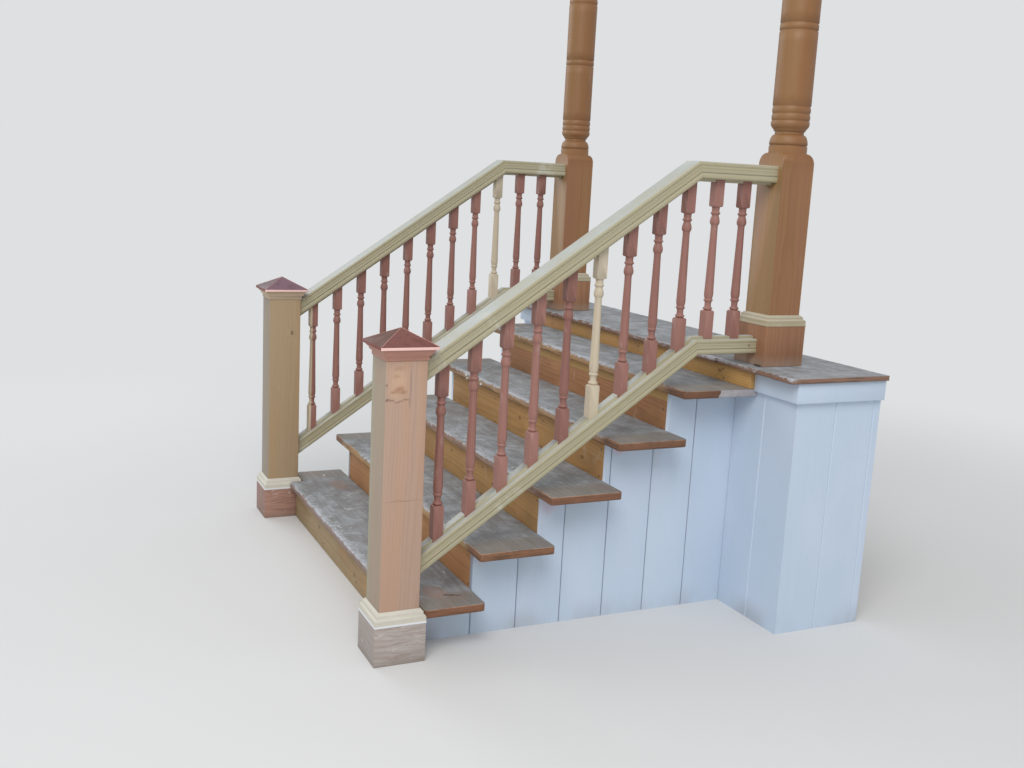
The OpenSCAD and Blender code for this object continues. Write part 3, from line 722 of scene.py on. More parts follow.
def newel_wood(name, pale, dark, front_tone, edge_tone, box, knots, patches):
    """Bare post wood: the front face and the outer edge of it are grayer.

    Patches are (places, colour, strength), laid over each other in order.
    """
    def build(tree):
        here = own_place(tree)
        colour, height = sawn_wood(tree, "Z", pale, dark, ring=0.009, wander=0.016, figure=0.20,
                                   streak=0.10, knots=knots)
        wavy = cloudy(tree, here, (9.0, 9.0, 0.9), 3.0)
        pores = cloudy(tree, here, (190.0, 190.0, 4.0), 2.0)
        warm = ease(tree, cloudy(tree, here, (22.0, 22.0, 1.1), 3.0), 0.46, 0.66, 0.0, 0.55)
        colour = mix(tree, warm, colour, tuple(c * m for c, m in zip(pale, (0.98, 0.86, 0.74, 1))))
        front = facing(tree, (0.0, -1.0, 0.0), 0.5, 0.9)
        colour = mix(tree, calc(tree, "MULTIPLY", front, 0.75), colour, mix(
            tree, ease(tree, pores, 0.35, 0.7), front_tone, darker(front_tone, 0.88)))
        across = calc(tree, "MULTIPLY_ADD", wavy, 0.03, part_of(tree, here, 0))
        outer = ease(tree, across, box[0].x + 0.055, box[0].x + 0.030, 0.0, 0.8)
        colour = mix(tree, calc(tree, "MULTIPLY", outer, front), colour, edge_tone)
        curl = cloudy(tree, here, (30.0, 30.0, 14.0), 3.0, 0.6)
        ripple = as_vector(tree, 0.0, calc(tree, "MULTIPLY_ADD", curl, 0.020, -0.010),
                           calc(tree, "MULTIPLY_ADD", curl, 0.026, -0.013))
        for places, patch_colour, strength in patches:
            patch = calc(tree, "MULTIPLY", spots(tree, here, places, 0.15, ripple), strength)
            patch = calc(tree, "MULTIPLY", patch, ease(tree, pores, 0.25, 0.6, 0.7, 1.0))
            colour = mix(tree, patch, colour, patch_colour)
        worn = ease(tree, cloudy(tree, here, (20.0, 20.0, 6.0), 5.0, 0.65), 0.64, 0.76, 0.0, 0.35)
        colour = mix(tree, worn, colour, shade(196, 180, 166))
        return colour, calc(tree, "MULTIPLY_ADD", pores, 0.5, height)
    return finished(name, build, roughness=0.6, bump=0.0004)


# The big grown-over knot high on the right newel's outer face, and a check low down across it
KNOT_Y = RIGHT_NEWEL[0].y + 0.040


def on_outer_face(*marks):
    """Places on the right newel's outer face, each (off the knot's middle, height, reaches)."""
    return [((RIGHT_NEWEL[1].x, KNOT_Y + off, z), (0.02, reach_y, reach_z))
            for off, z, reach_y, reach_z in marks]


knot_marks = [
    (on_outer_face((0.000, 0.944, 0.044, 0.080)), shade(202, 166, 136), 0.7),
    (on_outer_face((0.004, 0.992, 0.026, 0.012), (-0.006, 0.966, 0.020, 0.010)),
     shade(168, 126, 96), 0.45),
    (on_outer_face((0.004, 0.924, 0.024, 0.012), (0.016, 0.914, 0.018, 0.010),
                   (-0.014, 0.918, 0.012, 0.007)), shade(150, 104, 74), 0.65),
    (on_outer_face((-0.020, 0.890, 0.022, 0.0050), (0.004, 0.886, 0.022, 0.0045),
                   (0.028, 0.891, 0.016, 0.0050)), shade(124, 92, 76), 0.75),
    (on_outer_face((-0.036, 0.940, 0.005, 0.007), (-0.034, 0.892, 0.006, 0.007)),
     shade(84, 66, 56), 0.75),
    (on_outer_face((0.044, 0.945, 0.0055, 0.090), (0.041, 0.885, 0.005, 0.030)),
     shade(132, 114, 112), 0.60),
    (on_outer_face((0.035, 0.556, 0.110, 0.0022)), shade(132, 96, 80), 0.60),
]
newel_looks = (
    ("right", RIGHT_NEWEL, shade(190, 161, 142), shade(164, 130, 112), shade(166, 152, 134),
     shade(164, 159, 136), [], knot_marks),
    ("left", LEFT_NEWEL, shade(178, 155, 124), shade(152, 128, 96), shade(154, 144, 132),
     shade(150, 142, 137), [((LEFT_NEWEL[1].x, LEFT_NEWEL[0].y + 0.102, 0.865), 0.008)], []),
)
for side, box, pale, dark, front_tone, edge_tone, knots, patches in newel_looks:
    wood = newel_wood(f"{side}_newel_wood", pale, dark, front_tone, edge_tone, box, knots, patches)
    dressed(f"{side}_newel_shaft", f"{side}_newel", 51, NEWEL_EDGE, wood, "newel_wood", 3,
            hearts=(0.05, 0.08))


def plywood(name, pale, dark, side_tone):
    def build(tree):
        here = own_place(tree)
        wavy = cloudy(tree, here, (6.0, 6.0, 12.0), 3.0)
        moved = vector_calc(tree, "ADD", here, as_vector(
            tree, 0.0, 0.0, calc(tree, "MULTIPLY", wavy, 0.06)))
        figure = cloudy(tree, moved, (9.0, 9.0, 150.0), 4.0, 0.65)
        pores = cloudy(tree, moved, (50.0, 50.0, 520.0), 2.0)
        colour = mix(tree, ease(tree, figure, 0.34, 0.66), dark, pale)
        lines = calc(tree, "MULTIPLY", ease(tree, pores, 0.56, 0.72), ease(
            tree, figure, 0.62, 0.42))
        colour = mix(tree, calc(tree, "MULTIPLY", lines, 0.35), colour, shade(136, 112, 100))
        colour = mix(tree, facing(tree, (0.0, -1.0, 0.0), 0.6, 0.9), colour, mix(
            tree, 0.55, colour, side_tone))
        scuffs = ease(tree, cloudy(tree, here, (25.0, 25.0, 60.0), 4.0), 0.60, 0.72, 0.0, 0.5)
        colour = mix(tree, scuffs, colour, shade(206, 194, 186))
        level = part_of(tree, here, 2)
        colour = mix(tree, ease(tree, level, 0.03, 0.0, 0.0, 0.4), colour, shade(132, 120, 110))
        return colour, calc(tree, "MULTIPLY_ADD", pores, 0.5, figure)
    return finished(name, build, roughness=0.72, bump=0.0005)


for side, pale, dark, side_tone in (
        ("right", shade(182, 173, 168), shade(164, 149, 141), shade(158, 151, 146)),
        ("left", shade(176, 138, 122), shade(152, 114, 99), shade(146, 122, 116))):
    dressed(f"{side}_newel_plywood", f"{side}_newel_foot", 55, NEWEL_FOOT_EDGE,
            plywood(f"{side}_foot_ply", pale, dark, side_tone), "foot_plywood")


def primed_pine(name, pale, dark, dusting, lip=None):
    """Pale moulding wood, dusted with plaster; below the height lip it is caulked white."""
    def build(tree):
        here = own_place(tree)
        colour, height = sawn_wood(tree, "X", pale, dark, ring=0.005)
        smear = cloudy(tree, here, (16.0, 16.0, 34.0), 5.0, 0.65)
        smear = ease(tree, smear, 0.5, 0.72, 0.0, dusting)
        colour = mix(tree, smear, colour, shade(214, 212, 200))
        up = facing(tree, (0.0, 0.0, 1.0), 0.4, 0.9)
        colour = mix(tree, calc(tree, "MULTIPLY", up, 0.35), colour, shade(220, 218, 208))
        if lip is not None:
            level = calc(tree, "MULTIPLY_ADD", smear, 0.004, part_of(tree, here, 2))
            caulk = ease(tree, level, lip + 0.001, lip - 0.001, 0.0, 0.85)
            colour = mix(tree, caulk, colour, shade(224, 228, 234))
        return colour, height
    return finished(name, build, roughness=0.58, bump=0.0004)


foot_pine = primed_pine("pale_pine_moulding", shade(206, 202, 190), shade(190, 182, 162), 0.45,
                        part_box("newel_mouldings")[0].z + CAULK_HEIGHT)
dressed("newel_foot_mouldings", "newel_mouldings", 57, TRIM_EDGE, foot_pine, "cream_moulding", 1)


def cap_moulding_wood(tree):
    here = own_place(tree)
    colour, height = sawn_wood(tree, "X", shade(196, 146, 128), shade(172, 120, 104), ring=0.006)
    left_side = ease(tree, part_of(tree, here, 0), 0.1, -0.1)
    return mix(tree, calc(tree, "MULTIPLY", left_side, 0.85), colour, shade(200, 184, 156)), height


cap_pine = finished("cap_moulding_finish", cap_moulding_wood, roughness=0.6, bump=0.0004)
dressed("newel_cap_mouldings", "cap_mouldings", 58, TRIM_EDGE, cap_pine, "cap_moulding_wood", 1)


# Caps: low pyramids of sheet copper over the newels, with hips folded and soldered, a turned
# down rim, and a brown bloom over the bright metal. The rim is a painted reflection, bright on
# the side facing +X and dark red-brown elsewhere, and the hip seams carry a painted highlight.

CAP_EDGE = 0.0012
RIM_DEPTH = 0.010
HIP_SEAM = 0.0011
SEAM_INSET = 0.0015
SEAM_SINK = 0.0006


def ramp(tree, value, stops):
    """A colour ramp with (place, colour) stops in rising order."""
    made = add(tree, "ShaderNodeValToRGB", value)
    points = made.color_ramp.elements
    while len(points) < len(stops):
        points.new(0.5)
    for point, (place, colour) in zip(points, stops):
        point.position = place
        point.color = colour
    return made.outputs[0]


def browned_copper(name, bloom_dark, bloom_pale, bloom_worn, front_tone):
    """Sheet copper under a brown bloom, with painted reflection: a darker slope towards the
    climber, a bright rim on +X.
    """
    def build(tree):
        here = own_place(tree)
        bloom = cloudy(tree, here, (24.0, 24.0, 24.0), 4.0, 0.6)
        fine = cloudy(tree, here, (190.0, 190.0, 190.0), 3.0)
        colour = ramp(tree, bloom, [(0.3, bloom_dark), (0.5, bloom_pale), (0.72, bloom_worn)])
        colour = mix(tree, ease(tree, fine, 0.45, 0.75, 0.0, 0.25), colour, shade(150, 104, 94))
        # Painted reflection: the slope that faces the climber takes a darker tone
        front = facing(tree, (0.0, -1.0, 0.0), 0.1, 0.4)
        colour = mix(tree, calc(tree, "MULTIPLY", front, 0.92), colour, front_tone)
        # Painted reflection on the rim: bright pink on the side facing +X, dark red-brown on the
        # others
        rim = facing(tree, (0.0, 0.0, 1.0), 0.45, 0.15)
        lit = facing(tree, (1.0, 0.0, 0.0), 0.3, 0.8)
        edge = mix(tree, lit, shade(140, 84, 74), shade(255, 214, 206))
        colour = mix(tree, calc(tree, "MULTIPLY", rim, 0.92), colour, edge)
        return colour, fine, ease(tree, bloom, 0.35, 0.7, 0.52, 0.42)
    return finished(name, build, bump=0.0002, Metallic=0.2, Specular_IOR_Level=0.2)


# Painted highlight: the hip seams are coloured bright pink, for the light that catches them
def seam_highlight_copper(tree):
    fine = cloudy(tree, own_place(tree), (190.0, 190.0, 190.0), 3.0)
    return mix(tree, fine, shade(184, 128, 116), shade(214, 160, 148)), fine


cap_copper = {
    "right": browned_copper("browned_copper", shade(112, 70, 64), shade(130, 84, 78),
                            shade(110, 74, 74), shade(88, 46, 28)),
    "left": browned_copper("mauve_copper", shade(114, 88, 98), shade(130, 102, 114),
                           shade(122, 94, 104), shade(84, 58, 62)),
}
seam_copper = finished("seam_highlight_copper", seam_highlight_copper, roughness=0.35, bump=0.0001, Metallic=0.6)


def growing_tree(name, **inputs):
    """An empty node tree with those inputs and a finish, and the sockets that give them."""
    tree = bpy.data.node_groups.new(name, "GeometryNodeTree")
    for label, kind in {**inputs, "Finish": "Material"}.items():
        tree.interface.new_socket(label.replace("_", " "), in_out="INPUT",
                                  socket_type="NodeSocket" + kind)
    tree.interface.new_socket("Piece", in_out="OUTPUT", socket_type="NodeSocketGeometry")
    return tree, tree.nodes.new("NodeGroupInput").outputs


def ended(tree, shape, finish):
    """Ends the tree: the shape's copies are made real and given the finish."""
    real = add(tree, "GeometryNodeRealizeInstances", shape)
    coated = wired(tree, "GeometryNodeSetMaterial", Geometry=real.outputs[0], Material=finish)
    add(tree, "NodeGroupOutput", coated.outputs[0])
    return tree


def path_strip_tree():
    """Sweeps a small round bar along the edges of the mesh it is given."""
    tree, given = growing_tree("seam_along_edges", Edges="Geometry", Radius="Float", Sides="Int")
    line = add(tree, "GeometryNodeMeshToCurve", given["Edges"])
    ring = wired(tree, "GeometryNodeCurvePrimitiveCircle", Resolution=given["Sides"],
                 Radius=given["Radius"])
    swept = wired(tree, "GeometryNodeCurveToMesh", Curve=line.outputs[0],
                  Profile_Curve=ring.outputs[0], Fill_Caps=True)
    return ended(tree, swept.outputs[0], given["Finish"])


def grown(name, mesh, tree, material, slot, **inputs):
    """Runs the node tree on the mesh and keeps the result as a plain mesh piece."""
    start = bpy.data.objects.new(name + "_start", mesh)
    bpy.context.scene.collection.objects.link(start)
    modifier = start.modifiers.new("grow", "NODES")
    modifier.node_group = tree
    sockets = {s.name: s.identifier for s in tree.interface.items_tree
               if s.item_type == "SOCKET" and s.in_out == "INPUT"}
    for label, value in {**inputs, "Finish": material}.items():
        modifier[sockets[label.replace("_", " ")]] = value
    bpy.context.view_layer.update()
    ready = start.evaluated_get(bpy.context.evaluated_depsgraph_get())
    result = bpy.data.meshes.new_from_object(ready)
    bpy.data.objects.remove(start)
    result.materials.clear()
    result.materials.append(material)
    piece = bpy.data.objects.new(name, result)
    bpy.context.scene.collection.objects.link(piece)
    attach(piece, "root")


seam_tree = path_strip_tree()
for side in ("right", "left"):
    low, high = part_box(f"{side}_cap")
    dressed(f"{side}_copper_cap", f"{side}_cap", 61, CAP_EDGE, cap_copper[side], "copper", 3)
    rim_z = low.z + RIM_DEPTH
    peak = Vector(((low.x + high.x) / 2, (low.y + high.y) / 2, high.z - SEAM_SINK))
    feet = [Vector((x, y, rim_z)) for x, y in ((low.x + SEAM_INSET, low.y + SEAM_INSET),
                                               (high.x - SEAM_INSET, low.y + SEAM_INSET),
                                               (high.x - SEAM_INSET, high.y - SEAM_INSET),
                                               (low.x + SEAM_INSET, high.y - SEAM_INSET))]
    hips = bpy.data.meshes.new("hips")
    hips.from_pydata([peak] + feet, [(0, i + 1) for i in range(4)], [])
    grown(f"{side}_cap_hip_seams", hips, seam_tree, seam_copper, "copper",
          Radius=HIP_SEAM, Sides=8)


# Rails: moulded pine hand and foot rails with a fillet let in between the balusters, mitred at
# the knee. Pale yellow wood, its upper faces chalky with plaster dust.

RAIL_PALE = shade(188, 181, 154)
RAIL_DARK = shade(159, 150, 118)
RAIL_TOP = shade(182, 187, 184)


def rail_pine(name, grain):
    def build(tree):
        here = own_place(tree)
        colour, height = sawn_wood(tree, grain, RAIL_PALE, RAIL_DARK, ring=0.006, wander=0.010,
                                   figure=0.2, streak=0.12, tone=0.2)
        patch = cloudy(tree, here, (6.0, 6.0, 6.0), 5.0, 0.62)
        streaky = cloudy(tree, along_grain(tree, grain), (60.0, 60.0, 4.0), 3.0, 0.6)
        green = ease(tree, streaky, 0.45, 0.7, 0.0, 0.35)
        colour = mix(tree, green, colour, shade(166, 162, 140))
        up = facing(tree, (0.0, 0.0, 1.0), 0.62, 0.80)
        chalk = calc(tree, "MULTIPLY_ADD", patch, 0.6, calc(tree, "MULTIPLY", streaky, 0.4))
        chalk = ease(tree, chalk, 0.30, 0.62, 0.35, 1.0)
        colour = mix(tree, calc(tree, "MULTIPLY", up, chalk), colour, RAIL_TOP)
        smear = ease(tree, patch, 0.60, 0.70, 0.0, 0.5)
        colour = mix(tree, smear, colour, shade(204, 202, 190))
        return colour, height
    return finished(name, build, roughness=0.55, bump=0.0004)


for side in ("right", "left"):
    for kind in ("hand", "foot"):
        for slope, grain in (("rake", "rake"), ("level", "Y")):
            node = f"{side}_{slope}_{kind}_rail"
            length = marked(copied(node), len(node) + (side == "left"), (0.03, 0.06), grain)
            placed(f"{side}_{slope}_{kind}_rail_pine", length,
                   rail_pine(f"{side}_{slope}_{kind}_pine", grain), "rail_pine", node)


# Balusters: turned spindles with square ends cut to the rails, toe-nailed between the fillets.
# Most are reddish wood; one a side is pale cream, and the left side's first is half cream.

# Which spindle up the row is cream, and which is half cream, where -1 is none
CREAM_BALUSTER = {"right": 5, "left": 8}
HALF_CREAM_BALUSTER = {"right": -1, "left": 0}

# A half-cream spindle is cream up to that depth from its front foot, along this direction
SAP_AWAY = (0.43, 0.90, 0.0)
SAP_DEPTH = 0.017
SAP_BLEND = 0.0015


def spindle_wood(tree):
    here = own_place(tree)
    colour, height = sawn_wood(tree, "Z", shade(160, 115, 104), shade(132, 88, 79), ring=0.007,
                               wander=0.006, figure=0.18, streak=0.12, tone=0.26)
    cream, _ = sawn_wood(tree, "Z", shade(206, 194, 172), shade(184, 166, 138), ring=0.007,
                         wander=0.006, figure=0.2)
    off = vector_calc(tree, "SUBTRACT", here, attribute(tree, "front_foot", "Vector"))
    sap_side = ease(tree, vector_calc(tree, "DOT_PRODUCT", off, SAP_AWAY),
                    SAP_DEPTH + SAP_BLEND, SAP_DEPTH - SAP_BLEND)
    share = calc(tree, "MULTIPLY_ADD", attribute(tree, "cream"), 2.0, -1.0)
    mixed = calc(tree, "SUBTRACT", 1.0, calc(tree, "ABSOLUTE", share))
    creamy = calc(tree, "MULTIPLY_ADD", mixed, sap_side, share, clamp=True)
    colour = mix(tree, creamy, colour, cream)
    dust = ease(tree, cloudy(tree, here, (30.0, 30.0, 12.0), 4.0), 0.58, 0.75, 0.0, 0.35)
    return mix(tree, dust, colour, shade(184, 156, 147)), height


spindle_finish = finished("spindle_wood", spindle_wood, roughness=0.55, bump=0.0004)


def chance(tree, low, high, seed, **inputs):
    """A random number, or vector where low and high are, between them for each point."""
    of_vectors = isinstance(low, tuple)
    made = wired(tree, "FunctionNodeRandomValue", Seed=seed, **inputs)
    made.data_type = "FLOAT_VECTOR" if of_vectors else "FLOAT"
    for place, value in enumerate((low, high), 0 if of_vectors else 2):
        made.inputs[place].default_value = value
    return made.outputs[0 if of_vectors else 1]


def row_tree():
    """Repeats the given spindle along a straight row, with a shade and a heart of its own."""
    tree, given = growing_tree("row_of_spindles", Spindle="Geometry", Count="Int",
                               First_place="Vector", Step="Vector", Seed="Int", Cream="Int",
                               Half_cream="Int")
    line = wired(tree, "GeometryNodeMeshLine", Count=given["Count"], Offset=given["Step"],
                 Start_Location=given["First place"])
    row = wired(tree, "GeometryNodeInstanceOnPoints", Points=line.outputs[0],
                Instance=given["Spindle"]).outputs[0]
    index = tree.nodes.new("GeometryNodeInputIndex").outputs[0]
    place = tree.nodes.new("GeometryNodeInputPosition").outputs[0]
    heart_seed = calc(tree, "ADD", given["Seed"], 1)
    shade_seed = calc(tree, "ADD", given["Seed"], 2)
    off = chance(tree, (-0.04, -0.04, 0.0), (0.04, 0.04, 0.0), heart_seed, ID=index)
    is_cream = calc(tree, "COMPARE", index, given["Cream"], 0.1)
    is_half = calc(tree, "COMPARE", index, given["Half cream"], 0.1)
    for name, kind, value in (
            ("board", "FLOAT", chance(tree, 0.0, 1.0, shade_seed, ID=index)),
            ("heart", "FLOAT_VECTOR", vector_calc(tree, "ADD", place, off)),
            ("cream", "FLOAT", calc(tree, "MULTIPLY_ADD", is_half, 0.5, is_cream)),
            ("front_foot", "FLOAT_VECTOR", place)):
        stored = add(tree, "GeometryNodeStoreNamedAttribute", data_type=kind, domain="INSTANCE")
        stored.inputs["Name"].default_value = name
        tree.links.new(row, stored.inputs["Geometry"])
        tree.links.new(value, stored.inputs["Value"])
        row = stored.outputs[0]
    return ended(tree, row, given["Finish"])


# The first eight are cut alike; the one under the knee and the two on the level are not
RAKED = 8
spindle_row = row_tree()
for side in ("right", "left"):
    node = f"{side}_balusters"
    spindles = copied(node)
    solids = sorted(solids_of(spindles), key=lambda s: min(v.co.y for v in s))
    starts = [Vector((sum(v.co.x for v in s) / len(s), min(v.co.y for v in s),
                      min(v.co.z for v in s))) for s in solids[:RAKED]]
    upper = {v.index for s in solids[RAKED:] for v in s}
    one = {v.index for v in solids[0]}
    single = spindles.copy()
    bmesh.ops.delete(single, geom=[v for v in single.verts if v.index not in one],
                     context="VERTS")
    bmesh.ops.translate(single, verts=single.verts, vec=-starts[0])
    pattern = bpy.data.meshes.new("spindle")
    single.to_mesh(pattern)
    single.free()
    pattern.shade_smooth()
    pattern.set_sharp_from_angle(angle=0.7)
    grown(f"{side}_raked_spindles", pattern, spindle_row, spindle_finish, "baluster_wood",
          Count=RAKED, First_place=starts[0], Step=(starts[-1] - starts[0]) / (RAKED - 1),
          Seed=5 if side == "right" else 9, Cream=CREAM_BALUSTER[side],
          Half_cream=HALF_CREAM_BALUSTER[side])
    bmesh.ops.delete(spindles, geom=[v for v in spindles.verts if v.index not in upper],
                     context="VERTS")
    marked(spindles, 70 if side == "right" else 75, (0.02, 0.05))
    cream = spindles.verts.layers.float.new("cream")
    if CREAM_BALUSTER[side] >= RAKED:
        for vertex in min(solids_of(spindles), key=lambda s: min(v.co.y for v in s)):
            vertex[cream] = 1.0
    placed(f"{side}_upper_spindles", spindles, spindle_finish, "baluster_wood", node, crease=0.7)


# Porch posts: square blocks turned down to a ringed shaft between them, one piece of wood each,
# golden where the light falls and redder on the heart side, with a pine moulding at the foot.

POST_EDGE = 0.003
PLINTH_EDGE = 0.0015

# Where the lower block ends and the shaft begins; above it the wood is painted darker and more
# orange, a painted shade set against the floor's light on the block
SHAFT_START = 1.66


def post_wood(tree):
    here = own_place(tree)
    colour, height = sawn_wood(tree, "Z", shade(156, 114, 76), shade(128, 88, 54), ring=0.010,
                               wander=0.02, figure=0.28, streak=0.16, tone=0.1)
    level = part_of(tree, here, 2)
    # Painted shade: the shaft above the block is darkened towards orange
    shaft_shade = ease(tree, level, SHAFT_START, SHAFT_START + 0.08, 0.0, 0.6)
    front = facing(tree, (0.0, -1.0, 0.0), 0.2, 0.9)
    colour = mix(tree, calc(tree, "MULTIPLY", front, 0.5), colour, shade(156, 130, 88))
    wavy = cloudy(tree, here, (14.0, 14.0, 0.8), 3.0)
    colour = mix(tree, ease(tree, wavy, 0.48, 0.68, 0.0, 0.6), colour, shade(148, 101, 74))
    colour = mix(tree, shaft_shade, colour, shade(134, 90, 48))
    worn = ease(tree, cloudy(tree, here, (18.0, 18.0, 5.0), 5.0, 0.65), 0.62, 0.75, 0.0, 0.3)
    return mix(tree, worn, colour, shade(166, 136, 102)), height


def plinth_wood(tree):
    here = own_place(tree)
    colour, height = sawn_wood(tree, "Z", shade(160, 116, 84), shade(130, 88, 62), ring=0.008,
                               figure=0.3, streak=0.2)
    low = calc(tree, "SUBTRACT", part_of(tree, here, 2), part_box("post_plinths")[0].z)
    dust = calc(tree, "MULTIPLY", ease(tree, low, 0.05, 0.0), cloudy(tree, here, (30.0, 30.0, 9.0)))
    return mix(tree, dust, colour, shade(176, 156, 140)), height


post_finish = finished("porch_post_wood", post_wood, roughness=0.5, bump=0.0004)
for side in ("right", "left"):
    turned = marked(copied(f"{side}_porch_post"), 81 if side == "right" else 82, (0.03, 0.05))
    eased(turned, POST_EDGE, 2, lambda e: upright(e) and e.calc_length() > 0.3)
    placed(f"{side}_turned_post", turned, post_finish, "post_wood", f"{side}_porch_post",
           crease=0.5)
plinth_finish = finished("plinth_board_wood", plinth_wood, roughness=0.65, bump=0.0004)
dressed("post_plinth_boards", "post_plinths", 83, PLINTH_EDGE, plinth_finish, "plinth_wood")
post_pine = primed_pine("yellow_pine_moulding", shade(174, 163, 138), shade(156, 141, 110), 0.2)
dressed("post_foot_mouldings", "post_mouldings", 84, TRIM_EDGE, post_pine, "cream_moulding", 1)


# Deck boards: narrow weathered boards laid square to the edge, cut a little ragged, gray on top
# and brown at their overhanging ends, with plaster trodden into them.

DECK_SLICE = 0.012
DECK_EDGE = 0.0016
DECK_CHIP = 0.007
BOARD_ENDS_BACK = (0.0, 0.001, 0.002, 0.004, 0.007)
BOARD_TOP_DROP = 0.0008
deck_low, deck_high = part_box("deck_boards")
deck = copied("deck_boards")
draw = random.Random(7)
for solid in solids_of(deck):
    back = draw.choice(BOARD_ENDS_BACK)
    drop = draw.uniform(0.0, BOARD_TOP_DROP)
    for vertex in solid:
        if vertex.co.y < deck_low.y + 0.01:
            vertex.co.y += back
        if vertex.co.z > deck_high.z - 0.001:
            vertex.co.z -= drop
eased(deck, DECK_EDGE, 2)
sliced(deck, 0, DECK_SLICE)
chipped(deck, 9, deck_low.y, deck_high.z, DECK_CHIP)
from_arris(deck, deck_low.y, deck_high.z)
marked(deck, 91, (0.04, 0.08), "Y")
placed("weathered_deck_boards", deck, plank_finish(
    "deck_board_wood", "Y", deck_high.x + 0.1, shade(134, 100, 82), shade(96, 70, 58),
    shade(142, 110, 92), shade(150, 147, 146), shade(124, 118, 115)),
    "weathered_deck", "deck_boards")


# Plaster crumbs: lumps of set plaster dropped on the treads and the deck, thick along the
# front edges, where feet have pushed them, and thin over the rest.

def crumb_tree():
    """Scatters flat, uneven crumbs over the strips in drifts, each turned and sized by chance."""
    tree, given = growing_tree("scattered_crumbs", Strips="Geometry", Per_square_metre="Float",
                               Smallest="Float", Largest="Float", Seed="Int")
    place = tree.nodes.new("GeometryNodeInputPosition").outputs[0]
    drift = ease(tree, cloudy(tree, place, (7.0, 11.0, 1.0), 3.0), 0.46, 0.62)
    spread = wired(tree, "GeometryNodeDistributePointsOnFaces", Mesh=given["Strips"],
                   Density=calc(tree, "MULTIPLY", drift, given["Per square metre"]),
                   Seed=given["Seed"])
    rare = calc(tree, "POWER", chance(tree, 0.0, 1.0, 1), 2.2)
    spread_of_sizes = calc(tree, "SUBTRACT", given["Largest"], given["Smallest"])
    size = calc(tree, "MULTIPLY_ADD", rare, spread_of_sizes, given["Smallest"])
    flat = as_vector(tree, size, calc(tree, "MULTIPLY", size, chance(tree, 0.5, 1.0, 2)),
                     calc(tree, "MULTIPLY", size, chance(tree, 0.25, 0.5, 3)))
    turn = as_vector(tree, chance(tree, -0.3, 0.3, 4), 0.0, chance(tree, 0.0, 2 * math.pi, 5))
    lump = tree.nodes.new("GeometryNodeMeshIcoSphere")
    laid = wired(tree, "GeometryNodeInstanceOnPoints", Points=spread.outputs["Points"],
                 Instance=lump.outputs[0], Rotation=turn, Scale=flat)
    real = add(tree, "GeometryNodeRealizeInstances", laid.outputs[0])
    uneven = vector_calc(tree, "SUBTRACT", add(
        tree, "ShaderNodeTexNoise", place, None, 520.0, 1.0).outputs[1], (0.5, 0.5, 0.5))
    pushed = wired(tree, "GeometryNodeSetPosition", Geometry=real.outputs[0],
                   Offset=vector_calc(tree, "MULTIPLY", uneven, (0.002, 0.002, 0.001)))
    return ended(tree, pushed.outputs[0], given["Finish"])


def set_plaster(tree):
    here = own_place(tree)
    grit = cloudy(tree, here, (260.0, 260.0, 260.0), 3.0)
    return mix(tree, grit, shade(176, 178, 182), shade(214, 216, 218)), grit


EDGE_CLEAR = 0.013
EDGE_STRIP = 0.040
RAIL_CLEAR = 0.04


def flat_strips(*spans):
    """Level strips between the rails, each (front, back, height)."""
    reach = rail_x - RAIL_CLEAR
    corners = []
    for front, back, height in spans:
        corners += [(-reach, front, height), (reach, front, height),
                    (reach, back, height), (-reach, back, height)]
    mesh = bpy.data.meshes.new("strips")
    mesh.from_pydata(corners, [], [tuple(range(i, i + 4)) for i in range(0, len(corners), 4)])
    return mesh


crumbs = crumb_tree()
plaster = finished("set_plaster", set_plaster, roughness=0.9, bump=0.0004)
tops = [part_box(f"tread_{step}") for step in range(1, 6)]
crumb_groups = (
    ("tread_edge_crumbs", "weathered_plank", 4200.0, 0.0010, 0.0070, 1,
     [(low.y + EDGE_CLEAR, low.y + EDGE_STRIP, high.z - 0.0004) for low, high in tops]),
    ("tread_crumbs", "weathered_plank", 420.0, 0.0008, 0.0055, 2,
     [(low.y + EDGE_STRIP, low.y + RUN, high.z - 0.0003) for low, high in tops]),
    ("deck_edge_crumbs", "weathered_deck", 2600.0, 0.0010, 0.0060, 3,
     [(deck_low.y + EDGE_CLEAR, deck_low.y + EDGE_STRIP, deck_high.z - 0.0008)]),
    ("deck_crumbs", "weathered_deck", 220.0, 0.0008, 0.0045, 4,
     [(deck_low.y + EDGE_STRIP, deck_high.y - EDGE_STRIP, deck_high.z - 0.0008)]),
)
for name, slot, density, smallest, largest, seed, spans in crumb_groups:
    grown(name, flat_strips(*spans), crumbs, plaster, slot, Per_square_metre=density,
          Smallest=smallest, Largest=largest, Seed=seed)

# The largest lumps, which hang on the fourth and fifth treads' front edges, each
# (tread, x, drop below the tread's top, half its length)
LUMP_PLACES = ((4, -0.512, 0.010, 0.0100), (4, -0.503, 0.024, 0.0075), (4, -0.340, 0.021, 0.0085),
               (5, 0.092, 0.006, 0.0075))
lumps = bmesh.new()
for step, x, drop, size in LUMP_PLACES:
    low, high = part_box(f"tread_{step}")
    ball = bmesh.ops.create_icosphere(lumps, subdivisions=2, radius=size)["verts"]
    for vertex in ball:
        uneven = 1.0 + 0.5 * noise.noise(vertex.co * (0.9 / size) + Vector((x, step, 0.0)))
        vertex.co = vertex.co * uneven * 0.9
        vertex.co.z *= 0.75
    bmesh.ops.translate(lumps, verts=ball, vec=(x, low.y, high.z - drop))
placed("plaster_lumps", lumps, plaster, "weathered_plank")


# Fasteners: small screw heads in the risers over each stringer and in the deck boards over the
# rim, driven flush and a little rusty.

